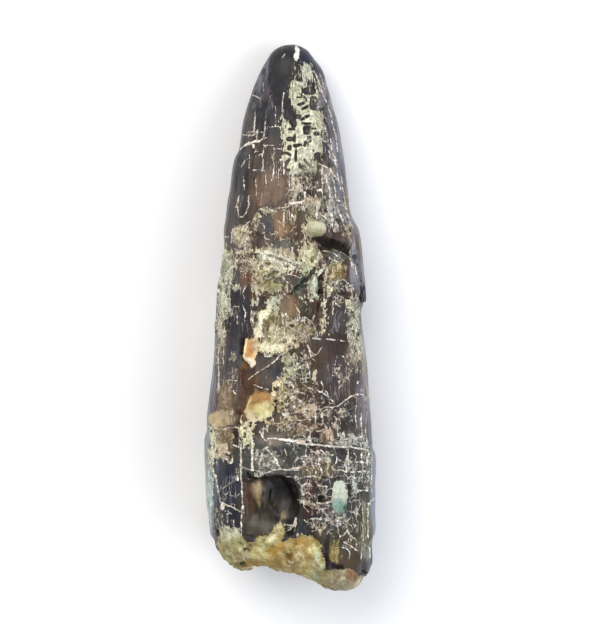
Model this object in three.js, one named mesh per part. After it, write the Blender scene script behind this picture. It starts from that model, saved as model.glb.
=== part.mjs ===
// A fossil tooth of a large fish-eating dinosaur: a blunt, slightly bowed cone with an oval section,
// snapped off at the root. It lies on a hard surface with its long axis along Y and its tip towards +Y.
// The tooth and the sandstone that fills its root are one mineralised piece, so they are one solid.
//
// Units are millimetres. A place on the tooth is given by its station, the distance from the lowest
// point of the broken base towards the tip, and by its offset across, positive towards +X.
import * as THREE from "three";
import { ImprovedNoise } from "three/addons/math/ImprovedNoise.js";
import { mergeVertices } from "three/addons/utils/BufferGeometryUtils.js";

const { clamp, degToRad, lerp, smoothstep } = THREE.MathUtils;

// ---------------------------------------------------------------- driving dimensions

const toothLength = 110;
const thicknessShare = 0.82; // the oval section is this much thinner than it is wide
const archHeight = 1.5; // rise of the bowed underside between its two resting places
const restDepth = 0.45; // how much the underside is worn flat where it rests
const baseRest = 16; // station of the resting place near the root
const tipRest = 104; // station of the resting place behind the tip
const sectionPower = 2.15; // 2 is an ellipse, more is squarer

// The crown narrows to its tip as tipSpread * (distance from the tip) ^ tipPower.
const tipSpread = 3.1;
const tipPower = 0.4;
const tipZone = 15;

// Half widths to the left and right of the middle line.
const outline = [
  // station, left, right
  [0, 8.0, 14.4],
  [3, 11.0, 16.2],
  [5.5, 13.4, 16.9],
  [7.5, 15.2, 17.1],
  [10.5, 16.1, 17.1],
  [16, 16.8, 17.1],
  [22, 17.1, 17.0],
  [30, 16.8, 16.5],
  [38, 16.4, 15.8],
  [47, 15.6, 15.2],
  [57, 15.0, 14.0],
  [66, 14.1, 13.1],
  [77, 12.7, 11.8],
  [87, 10.7, 10.6],
  [95, 9.0, 9.0],
];

// The broken end, seen from above: how far each offset across stays short of station 0.
const brokenEnd = [
  // offset, station
  [-18, 8.5],
  [-14, 5.4],
  [-11.5, 4.3],
  [-9, 4.5],
  [-6.8, 5.7],
  [-2, 4.4],
  [1.6, 3.8],
  [4, 2.9],
  [6.4, 0.8],
  [8.8, 0.1],
  [11.2, 0.4],
  [14, 1.2],
  [16, 3.4],
  [18, 7.0],
];

// ---------------------------------------------------------------- small tools

function cubic(rows) {
  const size = rows[0].length - 1;
  const curve = new THREE.CubicInterpolant(
    rows.map((row) => row[0]),
    rows.flatMap((row) => row.slice(1)),
    size,
  );
  const [first, last] = [rows[0][0], rows[rows.length - 1][0]];
  return (at) => Array.from(curve.evaluate(clamp(at, first, last)));
}

const noise = new ImprovedNoise();

// Rounded lumps of about the given size, from -1 to 1.
function lumps(point, size, seed) {
  return noise.noise(point.x / size + seed, point.y / size, point.z / size);
}

// 1 in the middle of a turned oval, 0 outside it, with a rim that is `soft` of its radius wide.
// A power over 2 makes the oval squarer.
function oval({ across, along, halfWidth, halfLength, turn = 0, soft = 0.5, power = 2 }) {
  const [c, s] = [Math.cos(degToRad(turn)), Math.sin(degToRad(turn))];
  return (x, station) => {
    const [dx, dy] = [x - across, station - along];
    const u = Math.abs(dx * c + dy * s) / halfWidth;
    const v = Math.abs(dy * c - dx * s) / halfLength;
    const reach = (u ** power + v ** power) ** (1 / power);
    return 1 - smoothstep(reach, 1 - soft, 1);
  };
}

// ---------------------------------------------------------------- outline and section

const tableWidths = cubic(outline);
const brokenStation = cubic(brokenEnd);

// Half widths to the left and right at a station.
function halfWidths(station) {
  const fromTip = Math.max(toothLength - station, 0);
  const taper = tipSpread * fromTip ** tipPower;
  const [left, right] = tableWidths(station);
  const share = smoothstep(fromTip, tipZone, tipZone + 8);
  return [lerp(taper, left, share), lerp(taper, right, share)];
}

function halfThickness(station) {
  const [left, right] = halfWidths(station);
  return (thicknessShare * (left + right)) / 2;
}

// Height of the section's centre: the underside is an arch between the two resting places.
function centreHeight(station) {
  const at = clamp(station, baseRest, tipRest);
  const along = (at - baseRest) / (tipRest - baseRest);
  return halfThickness(at) + archHeight * Math.sin(Math.PI * along) - restDepth;
}

// ---------------------------------------------------------------- relief of the upper face

// Where enamel and dentine have chipped away. Depths are in mm.
const hollows = [
  { across: -4, along: 17.6, halfWidth: 6.2, halfLength: 7.0, depth: 2.3, soft: 0.36, power: 3 }, // chipped pit
  { across: -1.4, along: 19.4, halfWidth: 3.4, halfLength: 4.0, depth: 1.2, soft: 0.8 }, // its deep corner
  { across: 8.2, along: 69.2, halfWidth: 4.8, halfLength: 1.5, turn: -16, depth: 1.9, soft: 0.6 }, // gouge
  { across: 2.4, along: 61.2, halfWidth: 1.1, halfLength: 3.6, turn: -44, depth: 0.9 }, // slanting groove
  { across: 6.2, along: 58, halfWidth: 1.1, halfLength: 5.2, depth: 0.8 }, // upright slot
  { across: 10.4, along: 60.6, halfWidth: 1.8, halfLength: 1.8, depth: 0.7 }, // round hollow
  { across: -8.8, along: 48.6, halfWidth: 2.2, halfLength: 3.6, depth: 0.8, soft: 0.4 }, // lifted flake
  { across: -5.6, along: 37.6, halfWidth: 3.0, halfLength: 3.4, depth: 0.6, soft: 0.4 }, // bare dentine
];

// Sandstone and flakes that stand proud.
const mounds = [
  { across: 5.2, along: 72.6, halfWidth: 2.6, halfLength: 1.9, height: 0.8, soft: 0.9 }, // grit pebble
  { across: 9.6, along: 19.6, halfWidth: 1.6, halfLength: 3.6, height: 0.5, soft: 0.8 }, // long pebble
  { across: -4, along: 65.2, halfWidth: 7.4, halfLength: 4.2, height: 0.6, soft: 0.7 }, // crust, middle
  { across: 1.2, along: 52.0, halfWidth: 6.2, halfLength: 5.0, turn: 20, height: 0.5, soft: 0.7 }, // crust, below
  { across: 3.4, along: 92.0, halfWidth: 3.4, halfLength: 12, height: 0.35, soft: 0.6 }, // crust, near the tip
  { across: -11.2, along: 10.0, halfWidth: 3.6, halfLength: 4.2, height: 0.6, soft: 0.9 }, // fill, left lobe
  { across: 1.0, along: 8.6, halfWidth: 6.0, halfLength: 3.6, height: 0.9, soft: 0.9 }, // fill, middle lobe
  { across: 9.6, along: 3.6, halfWidth: 5.0, halfLength: 3.4, height: 0.9, soft: 0.9 }, // fill, right lobe
];

const hollowShapes = hollows.map((h) => ({ inside: oval(h), amount: -h.depth }));
const moundShapes = mounds.map((m) => ({ inside: oval(m), amount: m.height }));

function upperRelief(x, station) {
  let total = 0;
  for (const { inside, amount } of [...moundShapes, ...hollowShapes]) total += amount * inside(x, station);
  return total;
}

// Plates of enamel that end in a ledge at the silhouette, on both faces.
const edgePlates = [
  // A flake on the right whose lower end juts out.
  { side: 1, from: 57.3, rise: 0.7, to: 76, fall: 4, offset: 10.4, height: 1.5 },
  // A plate lost on the left, which leaves a ledge at its lower end.
  { side: -1, from: 62.6, rise: 0.8, to: 73.5, fall: 7, offset: 11.6, height: -0.8 },
  // A plate on the left whose upper end juts out.
  { side: -1, from: 79, rise: 7, to: 88.2, fall: 0.8, offset: 6, height: 0.55 },
  // The worn shoulder on the right of the tip.
  { side: 1, from: 101.5, rise: 3, to: 107.5, fall: 3, offset: 4.2, height: 0.6 },
];
const edgeFade = 1.4; // half the width over which a plate fades out across the tooth

function edgeRelief(x, station) {
  let total = 0;
  for (const { side, from, rise, to, fall, offset, height } of edgePlates) {
    const along = smoothstep(station, from, from + rise) * (1 - smoothstep(station, to - fall, to));
    total += height * along * smoothstep(side * x, offset - edgeFade, offset + edgeFade);
  }
  return total;
}

// The tooth was once broken across and mended: a slanting groove runs round it, with a low lip below.
const glueLine = { station: 30.6, slope: -0.105, halfWidth: 0.8, depth: 0.45, lip: 0.3, lipEnd: 9 };

// offLine is the distance from the groove towards the tip.
function glueLineRelief(offLine) {
  const groove = 1 - smoothstep(Math.abs(offLine), 0, glueLine.halfWidth);
  const lip = smoothstep(-offLine, 0, glueLine.halfWidth) * (1 - smoothstep(-offLine, 2, glueLine.lipEnd));
  return glueLine.lip * lip - glueLine.depth * groove;
}

// Enamel plates stand over the sandstone fill at the root, whose edge wanders round the tooth.
const fillEdge = { level: 11.2, wander: 2.2, wanderSize: 5, drop: 0.7 };

function fillRelief(point, station) {
  const edge = fillEdge.level + fillEdge.wander * lumps(point, fillEdge.wanderSize, 31);
  const bare = 1 - smoothstep(station, edge - 0.8, edge + 0.8);
  return -fillEdge.drop * bare + 0.5 * bare * lumps(point, 3.2, 7);
}

// Shallow flutes run along the crown, and broad unevenness covers everything.
const flutes = { count: 15, depth: 0.12 };
const unevenness = [
  { size: 11, height: 0.35, seed: 3 },
  { size: 4.2, height: 0.16, seed: 12 },
];

function generalRelief(point, angle, station) {
  const onCrown = smoothstep(station, 14, 30) * (1 - smoothstep(station, 96, 106));
  let total = flutes.depth * onCrown * Math.cos(flutes.count * angle);
  for (const { size, height, seed } of unevenness) total += height * lumps(point, size, seed);
  return total * (1 - smoothstep(station, toothLength - 5, toothLength));
}

// ---------------------------------------------------------------- the solid

// Stations of the rings along the side: evenly spaced up to the tip, where they crowd together.
// Each ledge and groove has rings of its own, so that its edges stay sharp.
const sideRings = { step: 1.5, tipFrom: 102, tipCount: 9 };
const ledgeRings = [57.3, 58.0, 62.6, 63.4, 87.4, 88.2].concat(
  [-1, 0, 1].map((side) => glueLine.station + side * glueLine.halfWidth),
);
const clearOfLedges = 0.55; // a plain ring keeps this far from a ledge's
const capRings = 8;
const sectors = 52;
const rootBlend = 15; // up to here the side's stations follow the broken end
const rimSpan = 15; // half the width over which the rim follows the broken end's outline
const rimSetBack = 1.6;
const rimSharpness = 5;
const endSwell = { height: 0.9, size: 4.5, seed: 19 };

function sideStations() {
  const stations = [...ledgeRings];
  const isClear = (s) => ledgeRings.every((ledge) => Math.abs(s - ledge) > clearOfLedges);
  for (let s = 0; s < sideRings.tipFrom; s += sideRings.step) if (isClear(s)) stations.push(s);
  const reach = toothLength - sideRings.tipFrom;
  for (let i = 0; i < sideRings.tipCount; i++) {
    stations.push(toothLength - reach * (1 - i / sideRings.tipCount) ** 2);
  }
  return stations.sort((a, b) => a - b);
}

// Rings near the mended break slant with it.
function slant(ring, x) {
  return glueLine.slope * x * (1 - smoothstep(Math.abs(ring - glueLine.station), 2, 12));
}

// The lathe's profile only numbers the rings: x is the share of the full radius, y the station.
// The broken end comes first, as rings with a station of 0 and a share below 1.
function latheProfile() {
  const cap = Array.from({ length: capRings }, (_, i) => new THREE.Vector2(i / capRings, 0));
  const side = sideStations().map((station) => new THREE.Vector2(1, station));
  return [...cap, ...side, new THREE.Vector2(0, toothLength)];
}

// Sectors are narrower on the upper face, which has the most relief.
function spreadAngle(angle) {
  return angle - 0.28 * Math.sin(angle);
}

// The rim of the broken end lies a little nearer the tip than the end's lowest parts.
function rimStationAt(sx) {
  return brokenStation(rimSpan * sx)[0] + rimSetBack;
}

function squared(value) {
  return Math.sign(value) * Math.abs(value) ** (2 / sectionPower);
}

// A vertex of the broken end: rounded towards the rim, and lumpy.
function endPoint(share, sx, sz) {
  const rimStation = rimStationAt(share * sx);
  const [left, right] = halfWidths(rimStation);
  const width = sx < 0 ? left : right;
  const height = centreHeight(rimStation) + share * halfThickness(rimStation) * sz;
  const point = new THREE.Vector3(share * width * sx, rimStation, height);
  const toRim = share ** rimSharpness;
  const swell = endSwell.height * lumps(point, endSwell.size, endSwell.seed) * (1 - toRim);
  point.y = lerp(brokenStation(point.x)[0], rimStation, toRim) + swell;
  return point;
}

// A vertex of the side, moved out or in by the relief.
function sidePoint(angle, sx, sz, ring) {
  const level = ring + rimStationAt(sx) * Math.max(0, 1 - ring / rootBlend);
  const [left, right] = halfWidths(level);
  const width = Math.max(sx < 0 ? left : right, 1e-6);
  const station = level + slant(ring, width * sx);
  const thickness = Math.max(halfThickness(station), 1e-6);
  const point = new THREE.Vector3(width * sx, station, centreHeight(station) + thickness * sz);
  const outward = new THREE.Vector3(sx / width, 0, sz / thickness).normalize();
  const upper = smoothstep(sz, 0.05, 0.3);
  const relief =
    upper * upperRelief(point.x, station) +
    edgeRelief(point.x, station) +
    glueLineRelief(ring - glueLine.station) +
    fillRelief(point, station) +
    generalRelief(point, angle, station);
  const nearTip = smoothstep(toothLength - station, 0, 3);
  return point.addScaledVector(outward, relief * nearTip);
}

// The place of one lathe vertex on the finished tooth.
function toothPoint(share, ring, turn) {
  const angle = spreadAngle(turn);
  const [sx, sz] = [squared(Math.sin(angle)), squared(Math.cos(angle))];
  const onEnd = ring === 0 && share < 1 - 0.5 / capRings;
  return onEnd ? endPoint(share, sx, sz) : sidePoint(angle, sx, sz, ring);
}

function toothGeometry() {
  const lathe = new THREE.LatheGeometry(latheProfile(), sectors);
  const places = lathe.attributes.position;
  for (let i = 0; i < places.count; i++) {
    const [x, y, z] = [places.getX(i), places.getY(i), places.getZ(i)];
    const point = toothPoint(Math.hypot(x, z), y, Math.atan2(x, z));
    places.setXYZ(i, point.x, point.y, Math.max(point.z, 0));
  }
  lathe.deleteAttribute("normal");
  lathe.deleteAttribute("uv");
  const geometry = mergeVertices(lathe, 1e-4);
  geometry.computeBoundingBox();
  const { min, max } = geometry.boundingBox;
  geometry.translate(-(min.x + max.x) / 2, -(min.y + max.y) / 2, 0);
  geometry.computeVertexNormals();
  return geometry;
}

const fossil = new THREE.MeshStandardMaterial({ color: "#4b4440", roughness: 0.5, metalness: 0 });
const tooth = new THREE.Mesh(toothGeometry(), fossil);
tooth.name = "tooth";

const specimen = new THREE.Group();
specimen.name = "fossil_tooth";
specimen.add(tooth);
export default specimen;
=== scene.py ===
# %% [markdown]
# # A fossil dinosaur tooth
#
# The object is the crown of a large fish-eating dinosaur's tooth, about 110 mm long. It is a blunt cone
# with an oval section, snapped off at the root and turned to stone. Dark, glossy enamel covers it, broken
# into small blocks by cracks full of white calcite. Pale sandstone is still cemented to it in patches, and
# ochre sandstone fills its broken root.
#
# The CAD part gives the size, the place and the main form. This lesson models the tooth again with ordinary
# Blender tools, fits it to the CAD form, carves the damage, sculpts the fine relief, and then builds one
# stone material that has all of its finishes.

# %% Load the fixed frame
import math

import bpy
import numpy as np
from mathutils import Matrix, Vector, noise


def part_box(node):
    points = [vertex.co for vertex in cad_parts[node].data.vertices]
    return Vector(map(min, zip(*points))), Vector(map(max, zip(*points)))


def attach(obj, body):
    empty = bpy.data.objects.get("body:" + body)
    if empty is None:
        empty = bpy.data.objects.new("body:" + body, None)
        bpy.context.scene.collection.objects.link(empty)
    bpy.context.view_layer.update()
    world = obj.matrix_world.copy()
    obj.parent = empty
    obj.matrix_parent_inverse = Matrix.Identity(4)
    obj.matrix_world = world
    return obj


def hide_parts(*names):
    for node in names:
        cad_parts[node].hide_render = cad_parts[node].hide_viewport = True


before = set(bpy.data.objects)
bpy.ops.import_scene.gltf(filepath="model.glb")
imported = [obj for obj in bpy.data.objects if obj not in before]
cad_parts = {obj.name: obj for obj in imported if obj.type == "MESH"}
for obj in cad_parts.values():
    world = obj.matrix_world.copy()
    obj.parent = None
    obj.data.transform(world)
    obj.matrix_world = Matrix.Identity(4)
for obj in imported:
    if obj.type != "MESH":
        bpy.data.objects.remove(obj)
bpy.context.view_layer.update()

MM = 0.001
low, high = (np.array(corner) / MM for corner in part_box("tooth"))
print("CAD tooth, mm:", np.round(high - low, 2))

# %% [markdown]
# ## Places on the tooth
#
# Every place is given in millimetres: the *station* is the distance from the lowest point of the broken root
# towards the tip, and the *offset* is the distance across, positive to the right. The CAD solid is cut into
# thin slices here, so that the model can ask how wide and how high the tooth is at any station.

# %% Measure the CAD tooth in slices
cad_points = np.array([v.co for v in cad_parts["tooth"].data.vertices]) / MM
SLICE_STATIONS = np.arange(3.0, 109.0, 2.0)


def slice_box(station, reach=1.3):
    """Lowest and highest corner of the CAD tooth near a station."""
    near = cad_points[abs(cad_points[:, 1] - low[1] - station) < reach]
    return near.min(0), near.max(0)


slice_corners = np.array([slice_box(station) for station in SLICE_STATIONS])
slice_middles = slice_corners.mean(1)
slice_halves = (slice_corners[:, 1] - slice_corners[:, 0]) / 2


def section(station):
    """Middle across, middle height, half width and half thickness at each station."""
    rows = (slice_middles[:, 0], slice_middles[:, 2], slice_halves[:, 0], slice_halves[:, 2])
    return [np.interp(station, SLICE_STATIONS, row) for row in rows]


print("half width and half thickness near the root:", np.round(section(20)[2:], 2))

# %% [markdown]
# ## The tooth's cone
#
# A real tooth grows as a stack of cones, from the tip down. The model is made from the other end: a circle
# is laid at the broken root, and is then extruded ring by ring towards the tip. Each ring is moved and
# resized to the slice of the CAD tooth that it lies in.

# %% Extrude a circle from the root to the tip
RING_POINTS = 48
RING_STATIONS = [2.5, 6, 12, 20, 30, 40, 50, 60, 70, 80, 88, 95, 101, 105, 107.5, 109]


def deselect_all():
    bpy.ops.object.select_all(action="DESELECT")


def section_at(station):
    middle_x, middle_z, half_x, half_z = (float(value) for value in section(station))
    return Vector((middle_x, low[1] + station, middle_z)) * MM, half_x, half_z


deselect_all()
root_middle, half_x, half_z = section_at(RING_STATIONS[0])
bpy.ops.mesh.primitive_circle_add(
    vertices=RING_POINTS,
    radius=MM,
    fill_type="NGON",
    location=root_middle,
    rotation=(math.pi / 2, 0, 0),
)
tooth = bpy.context.object
tooth.name = "fossil_tooth"
bpy.ops.object.transform_apply(location=True, rotation=True, scale=True)
bpy.ops.object.mode_set(mode="EDIT")
bpy.ops.mesh.select_all(action="SELECT")
bpy.ops.transform.resize(value=(half_x, 1, half_z), center_override=root_middle)
middle = root_middle
for station in RING_STATIONS[1:]:
    next_middle, next_x, next_z = section_at(station)
    bpy.ops.mesh.extrude_region_move(TRANSFORM_OT_translate={"value": next_middle - middle})
    bpy.ops.transform.resize(value=(next_x / half_x, 1, next_z / half_z), center_override=next_middle)
    middle, half_x, half_z = next_middle, next_x, next_z
bpy.ops.mesh.select_all(action="SELECT")
bpy.ops.mesh.normals_make_consistent(inside=False)
bpy.ops.object.mode_set(mode="OBJECT")
print("cage:", len(tooth.data.vertices), "points")

# %% [markdown]
# ## Fitting the cone to the CAD form
#
# The cage has long faces, which can't follow ledges and lumps. A voxel remesh turns it into small even
# squares first. Shrinkwrap then lays every point on the nearest place of the CAD tooth, and a few rounds of
# smoothing take out the flat facets of the CAD solid.

# %% Remesh, shrinkwrap and smooth
FIT_VOXEL = 0.5 * MM


def apply_modifier(piece, kind, name, **settings):
    """Adds a modifier to a piece, sets it up and applies it."""
    deselect_all()
    bpy.context.view_layer.objects.active = piece
    piece.select_set(True)
    modifier = piece.modifiers.new(name, kind)
    for key, value in settings.items():
        setattr(modifier, key, value)
    bpy.ops.object.modifier_apply(modifier=modifier.name)
    print(f"{name}: {len(piece.data.polygons)} faces")


apply_modifier(tooth, "REMESH", "even squares", mode="VOXEL", voxel_size=FIT_VOXEL)
apply_modifier(
    tooth,
    "SHRINKWRAP",
    "lay on the CAD form",
    target=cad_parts["tooth"],
    wrap_method="NEAREST_SURFACEPOINT",
)
apply_modifier(tooth, "SMOOTH", "take out facets", factor=0.5, iterations=4)

# %% [markdown]
# ## Pebbles
#
# Two pebbles are cemented to the tooth. They are made from primitives and joined to the tooth as they are:
# the fine remesh below fuses whatever overlaps, just as the cement did.


# %% Press pebbles into the surface
def height_above(offset, station):
    """Height of the CAD tooth's upper surface at a place, in mm."""
    middle_x, middle_z, half_x, half_z = section(station)
    across = min(abs(offset - middle_x) / half_x, 0.98)
    return float(middle_z + half_z * math.sqrt(1 - across**2))


def place_at(offset, station, rise=0.0):
    """The point of the frame, in metres, that lies above a place on the tooth by some mm."""
    return Vector((offset, low[1] + station, height_above(offset, station) + rise)) * MM


PEBBLES = {
    # name: offset, station, rise, half width, half length, half height, lean to the side, degrees
    "round pebble": (5.2, 72.7, -0.4, 2.15, 2.0, 1.9, 12),
    "long pebble": (9.8, 19.4, -0.55, 1.55, 3.3, 1.0, 30),
}
PEBBLE_ROUGHNESS = 0.06  # mm

for name, (offset, station, rise, half_width, half_length, half_height, lean) in PEBBLES.items():
    deselect_all()
    bpy.ops.mesh.primitive_ico_sphere_add(subdivisions=4, radius=MM, location=place_at(offset, station, rise))
    pebble = bpy.context.object
    pebble.name = name
    bpy.ops.object.mode_set(mode="EDIT")
    bpy.ops.transform.resize(value=(half_width, half_length, half_height), center_override=pebble.location)
    bpy.ops.transform.rotate(value=math.radians(lean), orient_axis="Y", center_override=pebble.location)
    bpy.ops.transform.vertex_random(offset=PEBBLE_ROUGHNESS * MM, seed=4)
    bpy.ops.mesh.vertices_smooth(factor=0.5, repeat=2)
    bpy.ops.object.mode_set(mode="OBJECT")
    tooth.select_set(True)
    bpy.context.view_layer.objects.active = tooth
    bpy.ops.object.join()
    print("joined", name)

# %% [markdown]
# ## Even, small faces for the sculpting
#
# The finest forms on the tooth are about half a millimetre across: ridges of enamel, grains of sandstone and
# the edges of chipped blocks. A last voxel remesh gives faces small enough for them. The underside is thinned
# afterwards with Decimate, because it carries less detail.

# %% Remesh finely and thin the underside
FINE_VOXEL = 0.3 * MM
MOST_TRIANGLES = 192_000
FACING_DOWN = -0.15  # a normal's height below which a point belongs to the underside

apply_modifier(tooth, "REMESH", "fine squares", mode="VOXEL", voxel_size=FINE_VOXEL)
apply_modifier(tooth, "SMOOTH", "take out voxel steps", factor=0.5, iterations=3)


def read_points(piece):
    """Each point's offset, station and height in mm, and its normal."""
    count = len(piece.data.vertices)
    places, normals = np.empty(count * 3, np.float32), np.empty(count * 3, np.float32)
    piece.data.vertices.foreach_get("co", places)
    piece.data.vertices.foreach_get("normal", normals)
    points = places.reshape(-1, 3).astype(float) / MM
    points[:, 1] -= low[1]
    return points, normals.reshape(-1, 3).astype(float)


def smoothstep(values, low_edge, high_edge):
    share = np.clip((values - low_edge) / (high_edge - low_edge), 0, 1)
    return share * share * (3 - 2 * share)


points, normals = read_points(tooth)
underside = tooth.vertex_groups.new(name="underside")
for index in np.nonzero(normals[:, 2] < FACING_DOWN)[0]:
    underside.add([int(index)], 1.0, "REPLACE")
triangles = 2 * len(tooth.data.polygons)
apply_modifier(
    tooth,
    "DECIMATE",
    "thin the underside",
    ratio=MOST_TRIANGLES / triangles,
    vertex_group="underside",
    vertex_group_factor=10,
)
points, normals = read_points(tooth)
tooth.data.calc_loop_triangles()
print("points:", len(points), "triangles:", len(tooth.data.loop_triangles))

# %% [markdown]
# ## Fields over the surface
#
# The damage, the crust and the stains all lie at places of their own. Each kind is a list of shapes in
# millimetres: turned ovals, and strokes drawn point by point. A *field* says, for every
# point of the mesh, how far inside the nearest shape it lies. The same fields drive the sculpting and are
# kept as attributes for the material, so that colour and relief always agree.
# The hidden underside gets the same shapes, moved along the tooth the further round it a point lies, so that
# it is as rich as the upper face and joins it without a seam.

# %% Coordinates for the shapes
UNDERSIDE_SHIFT = 13.0  # mm
UNDERSIDE = (80, 150)  # degrees round the tooth from its top, between which the shift grows
SIDES = (76, 104)  # degrees, between which the enamel gets the plain look of the sides
SEED_STEP = 17.3  # how far apart noises of different seeds are sampled

offsets, stations, heights = points.T
middle_x, middle_z, half_x, half_z = section(stations)
section_x, section_z = (offsets - middle_x) / half_x, (heights - middle_z) / half_z
angles = np.arctan2(section_x, section_z)
around = smoothstep(abs(angles), *np.radians(UNDERSIDE))
side = smoothstep(abs(angles), *np.radians(SIDES))


def lumps(size, seed, at=points):
    """Smooth noise from about -1 to 1, with lumps of the given size in mm."""
    shift = np.array([SEED_STEP * seed, 0, 0])
    return np.array([noise.noise(Vector(place)) for place in at / size + shift])


def rough(*layers, at=points):
    """Sum of layers of lumps, each given as a height, the lumps' size and a seed."""
    return sum(height * lumps(size, seed, at) for height, size, seed in layers)


# cracks wander a little from where they are listed, and patches have rough edges
stroke_x = offsets + rough((0.14, 1.1, 1))
stroke_s = stations + rough((0.14, 1.1, 2)) + UNDERSIDE_SHIFT * around
patch_x = stroke_x + rough((0.45, 2.4, 3), (0.28, 0.9, 4))
patch_s = stroke_s + rough((0.45, 2.4, 5), (0.28, 0.9, 6))
# stains and dust run along the tooth, so their edges are drawn out in streaks
streaked = points * np.array([1, 0.22, 1])
stain_x = stroke_x + rough((0.6, 1.3, 21), (0.35, 0.5, 22), at=streaked)
stain_s = stroke_s + rough((1.3, 0.9, 23), at=streaked) + rough((0.6, 1.6, 24))


def steps_in_oval(x, s, offset, station, turn):
    """Steps along the width and the length of a turned oval, from its middle to each point."""
    turned = math.radians(turn[0] if turn else 0)
    across, along = x - offset, s - station
    cos, sin = math.cos(turned), math.sin(turned)
    return across * cos + along * sin, along * cos - across * sin


FAR_OUTSIDE = -99.0  # mm


def ovals(rows, power=2.0, x=patch_x, s=patch_s):
    """How far inside the nearest of some turned ovals each point lies, in mm. It is negative outside."""
    best = np.full(len(x), FAR_OUTSIDE)
    for offset, station, half_width, half_length, *turn in rows:
        u, v = steps_in_oval(x, s, offset, station, turn)
        reach = (abs(u / half_width) ** power + abs(v / half_length) ** power) ** (1 / power)
        inside = (1 - reach) * min(half_width, half_length)
        best = np.maximum(best, inside)
    return best


def strokes(rows):
    """How far inside the nearest of some drawn strokes each point lies, in mm, and the way to that stroke.

    The way is the step across, the step along and the stroke's half width. A material that reads the way
    can draw a line thinner than the mesh's faces, because a step shrinks evenly to nothing on the line.
    """
    x, s = stroke_x, stroke_s
    best = np.full(len(x), FAR_OUTSIDE)
    way = np.zeros((len(x), 3))
    for half_width, *corners in rows:
        for (x0, s0), (x1, s1) in zip(corners, corners[1:]):
            along = ((x - x0) * (x1 - x0) + (s - s0) * (s1 - s0)) / ((x1 - x0) ** 2 + (s1 - s0) ** 2)
            along = np.clip(along, 0, 1)
            step_x, step_s = x - x0 - along * (x1 - x0), s - s0 - along * (s1 - s0)
            inside = half_width - np.hypot(step_x, step_s)
            nearer = inside > best
            best[nearer] = inside[nearer]
            way[nearer] = np.stack([step_x, step_s, np.full(len(x), half_width)], 1)[nearer]
    return best, way


def keep(name, values):
    """Stores a field on the mesh, for the material."""
    tooth.data.attributes.new(name, "FLOAT", "POINT").data.foreach_set("value", values.astype(np.float32))


# %% [markdown]
# ## Sandstone crust and its windows
#
# After the tooth was buried, lime in the ground cemented sand to it. Most of that crust was picked off when
# the tooth was cleaned. What is left are thin plates of pale stone, with small square windows through which
# the dark enamel shows, because the crust breaks along the enamel's own cracks. Ovals with straightened
# sides, which is what a power over 2 makes of them, give such plates and windows.

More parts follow.
